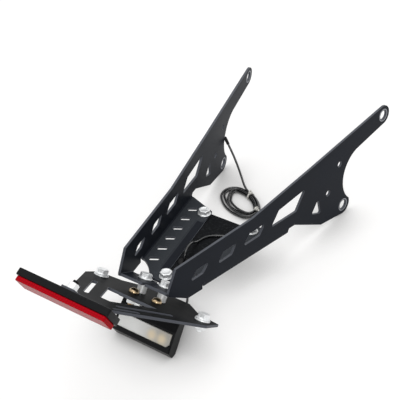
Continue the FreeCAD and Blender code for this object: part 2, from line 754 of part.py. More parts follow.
mouth = new_sketch(light, "mouth", "XZ_Plane", FACE)
face_frame(mouth, "0.0")
cavity = light.newObject("PartDesign::Pocket", "cavity")
cavity.Profile = mouth
bind(cavity, "Length", "dims.cavity_depth")
light.Tip = cavity
doc.recompute()

lens = face_piece("light_lens", 0, "dims.lens_thickness", "dims.fit_clearance")
gasket = face_piece("light_gasket", dim("lens_thickness"), "dims.gasket_thickness", "dims.fit_clearance")
opening = new_sketch(gasket, "gasket_opening", "XZ_Plane", FACE)
face_frame(opening, "dims.gasket_width")
cut_through(gasket, opening)
board_depth = dim("cavity_depth") - dim("board_thickness")
board = face_piece("light_board", board_depth, "dims.board_thickness", "dims.fit_clearance")
leds = []
for count in range(round(dim("led_count"))):
    led = doc.addObject("Part::Box", f"led{count}")
    bind(led, "Length", "dims.led_size")
    bind(led, "Width", "dims.led_height")
    bind(led, "Height", "dims.led_size")
    x = dim("led_middle") + (count - (dim("led_count") - 1) / 2) * dim("led_pitch") - dim("led_size") / 2
    z = -dim("light_lens_top") - dim("light_lens_drop") / 2 - dim("led_size") / 2
    led.Placement = at(bracket_place, x, -dim("light_face_run") + board_depth - dim("led_height"), z)
    leds.append(led)
gland_place = at(bracket_place, dim("gland_x"), dim("light_back_run"), -dim("gland_drop"))
gland_place = gland_place.multiply(Placement(Vector(), Rotation(AXIS_X, -90)))
gland = cylinder("light_gland", "dims.gland_diameter", "dims.gland_length", gland_place)
gland.Label = "light_gland"

# Reflector on the underside of the bracket's tab
tab_place = bracket_place.multiply(tab_turn)
under_tab = Placement(Vector(0, 0, -dim("bracket_gauge")), Rotation())
face_of_base = Placement(Vector(0, 0, -dim("bracket_gauge") - dim("reflector_base_depth")), Rotation())


def reflector_outline(sketch, inset_rule):
    half = f"(dims.reflector_length / 2 - {inset_rule})"
    low = f"(-dims.stud_run - dims.reflector_height / 2 + {inset_rule})"
    high = f"(-dims.stud_run + dims.reflector_height / 2 - {inset_rule})"
    draw_outline(sketch, [(f"-{half}", low), (half, low), (half, high), (f"-{half}", high)])


def is_end_corner(edge):
    return abs(edge.Vertexes[1].Point.z - edge.Vertexes[0].Point.z) > dim("reflector_lens_depth") / 2


base = new_body("reflector_base", tab_place)
backing = new_sketch(base, "backing", "XY_Plane", under_tab)
reflector_outline(backing, "0.0")
pad(base, backing, "dims.reflector_base_depth", reverse=True)
round_edges(base, "dims.reflector_corner", is_end_corner)
stud = new_sketch(base, "stud", "XY_Plane", under_tab)
draw_circle(stud, "0", "-dims.stud_run", "dims.stud_diameter")
STUD_STACK = "dims.bracket_gauge + dims.washer_thickness + dims.stud_nut_height + dims.thread_spare"
pad(base, stud, STUD_STACK)

reflector = new_body("reflector_lens", tab_place)
lens_face = new_sketch(reflector, "lens_face", "XY_Plane", face_of_base)
reflector_outline(lens_face, "dims.reflector_rim")
pad(reflector, lens_face, "dims.reflector_lens_depth", reverse=True)
round_edges(reflector, "dims.reflector_corner", is_end_corner)

stud_spot = at(tab_place, 0, -dim("stud_run"), 0)
disc = cylinder("stud_disc", "dims.stud_washer_diameter", "dims.washer_thickness", stud_spot)
STUD_HOLE = "dims.stud_diameter + 2 * dims.hole_clearance"
disc_bore = cylinder("stud_disc_bore", STUD_HOLE, "dims.washer_thickness", stud_spot)
stud_washer = bored("reflector_washer", disc, disc_bore)
stud_nut = hex_nut("reflector_nut", at(stud_spot, 0, 0, dim("washer_thickness")),
                   "dims.stud_nut_across", "dims.stud_nut_height", "dims.stud_diameter")

# Cable grommet in the centre panel
grommet_spot = at(LEVEL, dim("grommet_x"), dim("grommet_y"), -dim("sheet_gauge"))
waist = cylinder("grommet_waist", "dims.grommet_diameter", "dims.sheet_gauge", grommet_spot)
upper_lip = cylinder("grommet_upper_lip", "dims.grommet_diameter + 2 * dims.grommet_lip", "dims.grommet_lip",
                     at(grommet_spot, 0, 0, dim("sheet_gauge")))
lower_lip = cylinder("grommet_lower_lip", "dims.grommet_diameter + 2 * dims.grommet_lip", "dims.grommet_lip",
                     at(grommet_spot, 0, 0, -dim("grommet_lip")))
GROMMET_HEIGHT = "dims.sheet_gauge + 2 * dims.grommet_lip"
eye = cylinder("grommet_eye", "dims.cable_diameter + 2 * dims.fit_clearance", GROMMET_HEIGHT,
               at(grommet_spot, 0, 0, -dim("grommet_lip")))
grommet = bored("cable_grommet", fused("grommet_rubber", [waist, upper_lip, lower_lip]), eye)
doc.recompute()

pieces = {
    "right_side_plate": side,
    "left_side_plate": left,
    "centre_panel": centre,
    "plate_bracket": bracket,
    "panel_bolts": group("panel_bolts", panel_bolts),
    "panel_washers": group("panel_washers", panel_washers),
    "panel_nuts": group("panel_nuts", panel_nuts),
    "flange_bolts": group("flange_bolts", flange_bolts),
    "flange_spacers": group("flange_spacers", flange_spacers),
    "flange_nuts": group("flange_nuts", flange_nuts),
    "ear_bolts": group("ear_bolts", ear_bolts),
    "ear_washers": group("ear_washers", ear_washers),
    "ear_nuts": group("ear_nuts", ear_nuts),
    "light_housing": light,
    "light_lens": lens,
    "light_gasket": gasket,
    "light_board": board,
    "light_leds": group("light_leds", leds),
    "light_bolts": group("light_bolts", light_bolts),
    "light_nuts": group("light_nuts", light_nuts),
    "light_gland": gland,
    "reflector_base": base,
    "reflector_lens": reflector,
    "reflector_washer": stud_washer,
    "reflector_nut": stud_nut,
    "cable_grommet": grommet,
}
doc.recompute()

# Rest on the table: pitched, and put with the middle of its footprint at the origin
pitched = Placement(Vector(), Rotation(AXIS_X, -dim("rest_pitch")))


def posed(shape, move):
    copy = shape.copy()
    copy.Placement = move.multiply(copy.Placement)
    return copy


whole = Part.makeCompound([posed(piece.Shape, pitched) for piece in pieces.values()])
reach = whole.optimalBoundingBox(False)
rest = Placement(Vector(0, -reach.Center.y, -reach.ZMin), Rotation()).multiply(pitched)
print("extent", reach.XLength, reach.YLength, reach.ZLength, "rest", rest.Base)
for name in ("right_side_plate", "light_housing"):
    low = posed(pieces[name].Shape, rest).optimalBoundingBox(False)
    print("lowest point of", name, round(low.ZMin, 3))

# Cable: straight runs joined by tangent arcs, laid in the table's frame
RUN_SHARE = 0.45


def tube_path(points):
    edges = []
    radii = []
    last = points[0]
    for before, corner, after in zip(points, points[1:], points[2:]):
        back = (before - corner).normalize()
        onward = (after - corner).normalize()
        half_turn = (math.pi - back.getAngle(onward)) / 2
        shorter = min((before - corner).Length, (after - corner).Length)
        reach_back = RUN_SHARE * shorter
        radius = reach_back / math.tan(half_turn)
        start = corner + back * reach_back
        end = corner + onward * reach_back
        inward = (back + onward).normalize()
        crown = corner + inward * (radius / math.cos(half_turn) - radius)
        edges.append(Part.LineSegment(last, start).toShape())
        edges.append(Part.Arc(start, crown, end).toShape())
        radii.append(round(radius, 1))
        last = end
    edges.append(Part.LineSegment(last, points[-1]).toShape())
    return Part.Wire(edges), radii


def tube(label, points, diameter):
    path, radii = tube_path(points)
    circle = Part.makeCircle(diameter / 2, points[0], points[1] - points[0])
    shape = path.makePipe(Part.Face(Part.Wire([circle])))
    expected = math.pi * diameter ** 2 / 4 * path.Length
    print(label, "radii", radii, "length", round(path.Length, 1), "volume ratio", round(shape.Volume / expected, 4))
    feature = doc.addObject("Part::Feature", label)
    feature.Label = label
    feature.Shape = shape
    return feature


def from_level(x, y, z):
    return rest.multVec(Vector(x, y, z))


cable_radius = dim("cable_diameter") / 2
gland_end = gland_place.multVec(Vector(0, 0, dim("gland_length")))
gland_way = gland_place.Rotation.multVec(AXIS_Z)
grommet_x = dim("grommet_x")
grommet_y = dim("grommet_y")
on_panel = cable_radius + dim("cable_rest_gap")

# The coil is one ring of the bundle's outer shape, held by two ties on the table.
coil_height = dim("coil_section") + dim("tie_clearance") + dim("tie_thickness")
coil_turn = Rotation(AXIS_Z, dim("coil_turn"))
coil_middle = from_level(dim("coil_x"), dim("coil_y"), 0)
coil_place = Placement(Vector(coil_middle.x, coil_middle.y, coil_height), coil_turn)


# The ring is an oval of four tangent arcs: two flat sides and two tight ends.
end_radius = dim("coil_end_radius")
end_reach = dim("coil_half_length") - end_radius
half_width = dim("coil_half_width")
side_radius = (end_reach ** 2 + half_width ** 2 - end_radius ** 2) / (2 * (half_width - end_radius))
side_centre = Vector(half_width - side_radius, 0, 0)
end_centre = Vector(0, end_reach, 0)


def on_arc(centre, radius, degrees):
    angle = math.radians(degrees)
    return centre + Vector(radius * math.cos(angle), radius * math.sin(angle), 0)


def side_point(degrees):
    # A place on the ring's right side
    return coil_place.multVec(on_arc(side_centre, side_radius, degrees))


joint_angle = math.degrees(math.atan2(end_reach, -side_centre.x))
joint = on_arc(end_centre, end_radius, joint_angle)
side_crown = Vector(half_width, 0, 0)
end_crown = Vector(0, dim("coil_half_length"), 0)
lower_joint = Vector(joint.x, -joint.y, 0)
ring = Part.Wire([
    Part.Arc(lower_joint, side_crown, joint).toShape(),
    Part.Arc(joint, end_crown, Vector(-joint.x, joint.y, 0)).toShape(),
    Part.Arc(Vector(-joint.x, joint.y, 0), -side_crown, -joint).toShape(),
    Part.Arc(-joint, -end_crown, lower_joint).toShape(),
])
joint_way = Vector(math.sin(math.radians(joint_angle)), math.cos(math.radians(joint_angle)), 0)
section = Part.Face(Part.Wire([Part.makeCircle(dim("coil_section"), lower_joint, joint_way)]))
coil = doc.addObject("Part::Feature", "cable_coil")
coil.Label = "cable_coil"
coil.Shape = ring.makePipe(section)
coil.Placement = coil_place
print("cable_coil volume ratio", coil.Shape.Volume / (math.pi * dim("coil_section") ** 2 * ring.Length))

# From the light's gland up through the grommet, along the centre panel and down to the coil
lead = tube("cable_lead", [
    rest.multVec(gland_end),
    rest.multVec(gland_end + gland_way * dim("gland_lead")),
    from_level(9.5, grommet_y - 12, -43.2),
    from_level(6, grommet_y - 3, -37),
    from_level(1.5, grommet_y - 0.5, -26),
    from_level(grommet_x, grommet_y, -12),
    from_level(grommet_x, grommet_y, 9.5),
    from_level(grommet_x - 5, grommet_y + 16, 11),
    from_level(-7.5, -97, on_panel),
    from_level(-5.5, -84, on_panel),
    from_level(3, -76, on_panel),
    from_level(14.5, -71.5, on_panel),
    from_level(15, -58, on_panel),
    from_level(14, -44.5, on_panel + 0.8),
    from_level(12, -34, -4),
    from_level(9, -24, -11),
    Vector(4, 64, coil_height + 2.5),
    side_point(dim("lead_angle")),
], dim("cable_diameter"))

# From the coil up to the left plate's waist, with a sleeve on its end
tail_points = [
    side_point(dim("tail_angle")),
    Vector(-34, 106, coil_height + 1),
    Vector(-41, 113, 9),
    Vector(-49.5, 119.5, 17.5),
    Vector(-61, 126.3, 30),
    Vector(-72.3, 131, 42.1),
]
tail = tube("cable_tail", tail_points, dim("cable_diameter"))
sleeve_way = (tail_points[-1] - tail_points[-2]).normalize()
sleeve_spot = Placement(tail_points[-1] - sleeve_way * dim("sleeve_length"), Rotation(AXIS_Z, sleeve_way))
CABLE_BORE = "dims.cable_diameter + 2 * dims.fit_clearance"
sleeve = bored("cable_sleeve",
               cylinder("sleeve_tube", "dims.sleeve_diameter", "dims.sleeve_length", sleeve_spot),
               cylinder("sleeve_bore", CABLE_BORE, "dims.sleeve_length", sleeve_spot))

TIE_BORE = "2 * (dims.coil_section + dims.tie_clearance)"
ties = []
tie_spots = {
    "upper": (side_centre, side_radius, dim("upper_tie_angle")),
    "lower": (-end_centre, end_radius, dim("lower_tie_angle")),
}
for name, (centre_of_arc, radius_of_arc, angle) in tie_spots.items():
    tied = coil_place.multVec(on_arc(centre_of_arc, radius_of_arc, angle))
    way = coil_turn.multVec(on_arc(Vector(), 1, angle + 90))
    spot = Placement(tied - way * (dim("tie_width") / 2), Rotation(AXIS_Z, way))
    band = bored(name + "_band",
                 cylinder(name + "_band_tube", TIE_BORE + " + 2 * dims.tie_thickness", "dims.tie_width", spot),
                 cylinder(name + "_band_bore", TIE_BORE, "dims.tie_width", spot))
    lock = doc.addObject("Part::Box", name + "_lock")
    bind(lock, "Length", "dims.tie_lock")
    bind(lock, "Width", "dims.tie_lock")
    bind(lock, "Height", "dims.tie_lock")
    across = Vector(-way.y, way.x, 0)
    corner = tied - way * (dim("tie_lock") / 2) - across * (dim("tie_lock") / 2)
    corner.z += dim("coil_section") + dim("tie_clearance") + dim("tie_thickness") / 2
    lock.Placement = Placement(corner, Rotation(AXIS_Z, math.degrees(math.atan2(way.y, way.x))))
    ties.append(fused(name + "_tie", [band, lock]))
doc.recompute()

cords = {
    "cable_lead": lead,
    "cable_coil": coil,
    "cable_tail": tail,
    "cable_sleeve": sleeve,
    "zip_ties": group("zip_ties", ties),
}
doc.recompute()

# Checks, then one STEP file for each piece in its place on the table
for thing in doc.Objects:
    if "Invalid" in thing.State or "Error" in thing.State:
        raise RuntimeError(f"{thing.Name}: {thing.State}")
exports = {name: posed(piece.Shape, rest) for name, piece in pieces.items()}
exports.update({name: piece.Shape for name, piece in cords.items()})
os.makedirs("parts", exist_ok=True)
for name, shape in exports.items():
    if shape.isNull() or not shape.isValid():
        raise RuntimeError(f"{name}: bad shape")
    shape.exportStep(f"parts/{name}.step")
print(len(exports), "pieces written")
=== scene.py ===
import json
import math

import bmesh
import bpy
from bpy.props import FloatProperty, FloatVectorProperty, IntProperty, PointerProperty
from mathutils import Matrix, Vector


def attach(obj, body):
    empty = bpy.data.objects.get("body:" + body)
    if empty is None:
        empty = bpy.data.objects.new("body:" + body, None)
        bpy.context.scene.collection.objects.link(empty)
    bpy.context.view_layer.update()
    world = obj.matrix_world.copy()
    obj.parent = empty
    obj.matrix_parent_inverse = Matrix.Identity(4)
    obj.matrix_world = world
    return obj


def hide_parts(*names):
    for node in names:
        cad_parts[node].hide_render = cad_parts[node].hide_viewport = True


bl_info = {
    "name": "Short rear fender",
    "version": (1, 0, 0),
    "blender": (4, 5, 0),
    "location": "3D View > Sidebar > Fender",
    "description": "Dresses a folded sheet fender kit with its fasteners, light, reflector and cable",
    "category": "Object",
}

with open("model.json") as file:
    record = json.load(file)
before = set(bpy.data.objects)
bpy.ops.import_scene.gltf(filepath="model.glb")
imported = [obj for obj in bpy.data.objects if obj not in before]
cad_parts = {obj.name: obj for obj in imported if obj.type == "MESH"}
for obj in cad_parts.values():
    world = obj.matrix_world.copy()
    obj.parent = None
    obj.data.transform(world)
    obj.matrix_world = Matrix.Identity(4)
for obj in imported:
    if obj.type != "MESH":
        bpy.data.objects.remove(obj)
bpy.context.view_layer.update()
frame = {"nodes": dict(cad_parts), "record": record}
NODES = frame["nodes"]
MOUNTS = {mount["name"]: mount for mount in frame["record"]["mounts"]}
MM = 0.001


def linear(hex_code):
    """An sRGB hex colour as linear numbers."""
    channels = [int(hex_code[place:place + 2], 16) / 255 for place in (1, 3, 5)]
    return tuple(c / 12.92 if c <= 0.04045 else ((c + 0.055) / 1.055) ** 2.4 for c in channels)


def size_property(name, description, millimetres):
    return FloatProperty(name=name, description=description, default=millimetres * MM, min=0.0,
                         subtype="DISTANCE", unit="LENGTH", precision=5)


def colour_property(name, description, hex_code):
    return FloatVectorProperty(name=name, description=description, default=linear(hex_code),
                               size=3, min=0.0, max=1.0, subtype="COLOR")


class FenderSizes(bpy.types.PropertyGroup):
    """Sizes of the details that the plain solids leave out"""

    edge_break: size_property("Edge break", "Width of the rounded edges of the coated sheet", 0.3)
    moulded_edge: size_property("Moulded edge", "Width of the rounded edges of moulded plastic", 0.9)
    thread_pitch: size_property("Thread pitch", "Rise of one turn of the bolt threads", 1.0)
    cable_diameter: size_property("Cable diameter", "Outside diameter of the cable", 2.4)
    strand_gap: size_property("Strand gap", "Distance between the coil's turns where they are tied", 2.6)
    loose_spread: FloatProperty(
        name="Loose spread", description="How far the turns fan out where nothing ties them",
        default=1.0, min=0.0, max=1.2)
    coil_turns: IntProperty(
        name="Coil turns", description="Full turns of cable in the coil", default=4, min=1, max=4)


class FenderColours(bpy.types.PropertyGroup):
    """Colours of the finishes"""

    coat: colour_property("Powder coat", "Coated side plates", "#191c22")
    bracket_coat: colour_property("Bracket coat", "Coated bracket and centre panel", "#111214")
    # Edge coat: partly thinner coat on the sheet edges, partly a painted highlight where they catch light
    edge_coat_and_highlight: colour_property("Edge coat and highlight", "Thin coat along the sheet edges", "#3f4249")
    zinc: colour_property("Zinc", "Bright zinc plating", "#fafbfb")
    yellow_zinc: colour_property("Yellow zinc", "Yellow passivated zinc", "#cdb795")
    moulding: colour_property("Moulding", "Black moulded plastic", "#0a0a0c")
    lamp_lens: colour_property("Lamp lens", "Clear lamp lens", "#fdfefc")
    lamp_tray: colour_property("Lamp tray", "White tray behind the lens", "#f0f0ec")
    phosphor: colour_property("Phosphor", "Yellow layer on the diodes", "#e6bd5e")
    red_lens: colour_property("Red lens", "Reflector lens", "#d40a1c")
    rubber: colour_property("Rubber", "Grommet and gland rubber", "#19191a")
    cable: colour_property("Cable", "Cable sheath", "#0c0d0f")
    nylon: colour_property("Nylon", "Zip ties", "#eceae4")
    floor: colour_property("Floor", "Studio floor", "#a19f9d")


# Frames of the object's main parts, as the solids have them

def placed(x=0.0, y=0.0, z=0.0, about_x=0.0, about_z=0.0):
    """A place in millimetres, turned about its X and then its Z axis in degrees."""
    spot = Matrix.Translation((x * MM, y * MM, z * MM))
    turn = Matrix.Rotation(math.radians(about_z), 4, "Z")
    return spot @ turn @ Matrix.Rotation(math.radians(about_x), 4, "X")


LEVEL_LEAN = 8.4
BRACKET_LEAN = 33.0
TAB_BEND = 27.0
TAB_LEAN = LEVEL_LEAN + BRACKET_LEAN + TAB_BEND
LEVEL = placed(y=74.7024, z=23.6666, about_x=-LEVEL_LEAN)
BRACKET = LEVEL @ placed(y=-170.0034, z=-12.3029, about_x=-BRACKET_LEAN)
TAB = BRACKET @ placed(y=-119.0, about_x=-TAB_BEND)
COIL = placed(x=-25.3, y=84.49, about_z=61.6)
PANEL_SPOTS = [(27.5, -53.5), (-27.5, -53.5), (0.0, -156.5)]
FLANGE_SPOTS = [(11.0, -12.62), (-11.0, -12.62)]
EAR_SPOTS = [(56.0, -13.5), (-56.0, -13.5)]
DOME_SPOTS = [(12.5, -22.0), (-12.5, -22.0)]
STUD_SPOT = (0.0, -19.0)
DIODE_SPOTS = (9.5, 20.5)
DIODE_Z = -32.25
LENS_FACE_Y = -7.0
SHEET = 2.5
FOOT = 3.5
SPACER = 10.89
WASHER = 1.2
NUT = 5.0
NUT_ACROSS = 10.0
DOME_NUT = 4.0
BOLT_END = 2.5


# Materials

def feed(tree, source, socket):
    """Sets a socket to a plain value, or links another node's output to it."""
    if isinstance(source, bpy.types.NodeSocket):
        tree.links.new(source, socket)
    else:
        socket.default_value = source


def node(tree, kind, sockets=None, **settings):
    """Adds a node: settings are its own, and sockets say what its inputs get."""
    made = tree.nodes.new(kind)
    for name, value in settings.items():
        setattr(made, name, value)
    for name, source in (sockets or {}).items():
        feed(tree, source, made.inputs[name])
    return made


def per_size(millimetres):
    """Noise scale for a grain of that size, with Object coordinates in metres."""
    return 1000.0 / millimetres


def rgba(shade):
    return (*shade, 1.0)


def arithmetic(tree, operation, *sources):
    """A sum on numbers and other nodes' outputs."""
    return node(tree, "ShaderNodeMath", dict(enumerate(sources)), operation=operation).outputs[0]


def vector_sum(tree, operation, *sources):
    """A sum on vectors, whose answer is a number for a length or a distance."""
    made = node(tree, "ShaderNodeVectorMath", dict(enumerate(sources)), operation=operation)
    return made.outputs["Value" if operation in ("LENGTH", "DISTANCE") else "Vector"]


def remap(tree, source, low, high, to_low=0.0, to_high=1.0, curve="LINEAR"):
    """Stretches one range of numbers to another and holds it at its ends."""
    sockets = {"Value": source, "From Min": low, "From Max": high, "To Min": to_low, "To Max": to_high}
    return node(tree, "ShaderNodeMapRange", sockets, interpolation_type=curve).outputs[0]


def noise(tree, spot, grain, detail, roughness=0.5):
    """Cloudy noise with its grain in millimetres."""
    sockets = {"Vector": spot, "Scale": per_size(grain), "Detail": detail, "Roughness": roughness}
    return node(tree, "ShaderNodeTexNoise", sockets).outputs[0]


def blend(tree, share, first, second):
    """Mixes two colours, each a shade or another node's output."""
    ends = [end if isinstance(end, bpy.types.NodeSocket) else rgba(end) for end in (first, second)]
    return node(tree, "ShaderNodeMix", {0: share, 6: ends[0], 7: ends[1]}, data_type="RGBA").outputs[2]


def relief(tree, height, strength, millimetres):
    """Bump of that depth, for the shader's normal."""
    sockets = {"Height": height, "Strength": strength, "Distance": millimetres * MM}
    return node(tree, "ShaderNodeBump", sockets).outputs[0]


def directly_seen(tree):
    """One for camera, mirror and glass rays, and nought for the light that falls on things."""
    path = node(tree, "ShaderNodeLightPath").outputs
    seen = arithmetic(tree, "MAXIMUM", path["Is Camera Ray"], path["Is Glossy Ray"])
    return arithmetic(tree, "MAXIMUM", seen, path["Is Transmission Ray"])


def new_finish(name, values):
    """A material with its shader's plain values set, and the place on the piece to draw patterns by."""
    material = bpy.data.materials.new(name)
    material.use_nodes = True
    tree = material.node_tree
    shader = tree.nodes["Principled BSDF"]
    fill(tree, shader, values)
    spot = node(tree, "ShaderNodeTexCoord").outputs["Object"]
    return material, tree, shader, spot


def fill(tree, shader, sockets):
    for name, source in sockets.items():
        feed(tree, source, shader.inputs[name])


# Holes with a worn ring, and where the ring starts, is full, fades and ends, from the hole's axis
WORN_HOLES = ("right_arm_hole", "right_lobe_hole")
WORN_RING = (6.0 * MM, 6.3 * MM, 7.1 * MM, 7.4 * MM)
RING_FRAY = 0.8 * MM
# Rise of a surface's normal between which the pale tone of level faces starts and lies in full:
# partly settled dust, partly a painted sheen of light from above
DUST_AND_SHEEN_RISE = (0.966, 0.986)


def bore_distance(tree, spot, mount):
    parts = node(tree, "ShaderNodeSeparateXYZ", {0: spot}).outputs
    across = arithmetic(tree, "ABSOLUTE", parts["X"])
    folded = node(tree, "ShaderNodeCombineXYZ", {"X": across, "Y": parts["Y"], "Z": parts["Z"]}).outputs[0]
    arm = vector_sum(tree, "SUBTRACT", folded, mount["pos_m"])
    swing = vector_sum(tree, "CROSS_PRODUCT", arm, mount["axis"])
    return vector_sum(tree, "LENGTH", swing)


def powder_coat(name, shade, lighter, gloss, veil, dust_and_sheen):
    # Fine-textured polyester powder coat on steel sheet: near-black with a soft sheen broken by orange peel,
    # a pale veil where the sheet lies level, which is partly settled dust and partly a painted sheen of
    # light from above, and a thin pale ring where a washer's rim has rubbed round each mounting hole. The
    # peel is about 0.6 mm on the real sheet, and drawn at 1.4 mm so that it shows.
    material, tree, shader, spot = new_finish(name, {"Specular IOR Level": gloss})
    drift = noise(tree, spot, 38, 3.0)
    speck = noise(tree, spot, 2.2, 5.0, 0.7)
    peel = noise(tree, spot, 1.4, 2.0)
    # Level faces pale towards grey: partly dust, partly a painted sheen of the light above them
    facing = node(tree, "ShaderNodeNewGeometry").outputs["Normal"]
    rise = node(tree, "ShaderNodeSeparateXYZ", {0: facing}).outputs["Z"]
    level = remap(tree, rise, *DUST_AND_SHEEN_RISE, to_high=dust_and_sheen)
    specked_dust_and_sheen = remap(tree, speck, 0.52, 0.72, to_low=veil)
    dust_and_sheen_share = arithmetic(tree, "MULTIPLY", specked_dust_and_sheen, level)
    dust_and_sheen_tone = blend(tree, dust_and_sheen_share, blend(tree, drift, shade, lighter), linear("#868b8f"))
    start, full, fading, end = WORN_RING
    nearest = arithmetic(tree, "MINIMUM", *[bore_distance(tree, spot, MOUNTS[hole]) for hole in WORN_HOLES])
    ragged = arithmetic(tree, "MULTIPLY_ADD", speck, RING_FRAY, nearest)
    within = remap(tree, ragged, end, fading)
    beyond = remap(tree, ragged, start, full)
    bare = arithmetic(tree, "MULTIPLY", within, beyond)
    fill(tree, shader, {
        "Base Color": blend(tree, bare, dust_and_sheen_tone, linear("#8f9196")),
        "Metallic": bare,
        "Roughness": remap(tree, drift, 0.0, 1.0, 0.34, 0.52),
        "Normal": relief(tree, peel, 0.12, 0.1),
    })
    return material


def plated(name, shade, tinge, metal, grain, smooth, rough):
    # Electroplated zinc on turned and forged steel: bright, a little cloudy where the passivation
    # varies in thickness, with fine tool marks that blur the reflections.
    material, tree, shader, spot = new_finish(name, {"Metallic": metal})
    cloud = noise(tree, spot, grain, 3.0)
    marks = noise(tree, spot, 0.7, 3.0)
    fill(tree, shader, {
        "Base Color": blend(tree, cloud, shade, tinge),
        "Roughness": remap(tree, marks, 0.0, 1.0, smooth, rough),
        "Normal": relief(tree, marks, 0.10, 0.06),
    })
    return material


def moulded(name, shade, lighter, gloss, smooth, rough, grain):
    # Moulded polymer: the tool's spark-eroded grain on its skin, a soft sheen and a little grey scuffing.
    material, tree, shader, spot = new_finish(name, {"Specular IOR Level": gloss})
    scuff = noise(tree, spot, 9, 6.0, 0.65)
    skin = noise(tree, spot, grain, 2.0)
    fill(tree, shader, {
        "Base Color": blend(tree, scuff, shade, lighter),
        "Roughness": remap(tree, scuff, 0.0, 1.0, smooth, rough),
        "Normal": relief(tree, skin, 0.15, 0.08),
    })
    return material


def lamp_polycarbonate(name, shade, dim, glow):
    # Milky polycarbonate lens, pebbled behind to spread the light: pale and glossy, greyer towards its +X
    # end, and warm in front of each diode, where its yellow layer is seen through with a painted glow that is
    # a little brighter than the lens round it.
    material, tree, shader, spot = new_finish(name, {"IOR": 1.585, "Transmission Weight": 0.1})
    cells = node(tree, "ShaderNodeTexVoronoi", {"Vector": spot, "Scale": per_size(1.5)})
    pebble = cells.outputs["Distance"]
    across = node(tree, "ShaderNodeSeparateXYZ", {0: spot}).outputs["X"]
    # Greyer towards the lens's +X end
    greyer_share = remap(tree, across, -12.0 * MM, 22.0 * MM, curve="SMOOTHSTEP")
    body = blend(tree, greyer_share, shade, dim)
    # Painted glow in front of each diode, partly its yellow layer seen through the lens
    for x in DIODE_SPOTS:
        middle = BRACKET @ (Vector((x, LENS_FACE_Y, DIODE_Z)) * MM)
        gap = vector_sum(tree, "DISTANCE", spot, middle)
        blur = remap(tree, gap, 7.5 * MM, 1.0 * MM, to_high=0.85, curve="SMOOTHSTEP")
        body = blend(tree, blur, body, glow)
    fill(tree, shader, {
        "Base Color": body,
        "Roughness": remap(tree, pebble, 0.0, 0.6, 0.12, 0.22),
        "Normal": relief(tree, pebble, 0.12, 0.1),
    })
    return material


def reflector_acrylic(name, shade):
    # Red acrylic over moulded corner cubes: deep red from the side, with a net of cells that catches
    # light on the face. Real cells are about 2.2 mm wide.
    material, tree, shader, spot = new_finish(name, {"Roughness": 0.22, "Specular IOR Level": 0.035})
    along = node(tree, "ShaderNodeMapping", {"Vector": spot, "Rotation": (math.radians(TAB_LEAN), 0.0, 0.0)})
    cells = node(tree, "ShaderNodeTexVoronoi",
                 {"Vector": along.outputs[0], "Scale": per_size(2.4), "Randomness": 0.0})
    cube = cells.outputs["Distance"]
    edge = remap(tree, cube, 0.2, 0.6)
    fill(tree, shader, {
        "Base Color": blend(tree, edge, shade, linear("#a40716")),
        "Normal": relief(tree, cube, 0.2, 0.2),
    })
    return material


FLOOR_LIFT = 0.53
SHADOW_REACH = 40.0 * MM
SHADOW_STEEPNESS = 1.6


def studio_floor(name, shade):
    # Matt painted studio board: camera, mirror and glass rays see it near white, with the object's shadow
    # kept and darkest where the object is close above it.
    material, tree, shader, spot = new_finish(name, {
        "Roughness": 0.8, "Specular IOR Level": 0.1, "Emission Color": (1.0, 1.0, 1.0, 1.0)})
    mottle = noise(tree, spot, 120, 4.0)
    seen = directly_seen(tree)
    body = blend(tree, mottle, shade, linear("#a9a8a6"))
    clear = node(tree, "ShaderNodeAmbientOcclusion", {"Distance": SHADOW_REACH}, samples=16).outputs["AO"]
    open_sky = arithmetic(tree, "POWER", clear, SHADOW_STEEPNESS)
    lift = arithmetic(tree, "MULTIPLY", open_sky, FLOOR_LIFT)
    fill(tree, shader, {
        "Base Color": blend(tree, seen, body, linear("#c4c3c2")),
        "Emission Strength": arithmetic(tree, "MULTIPLY", seen, lift),
    })
    return material


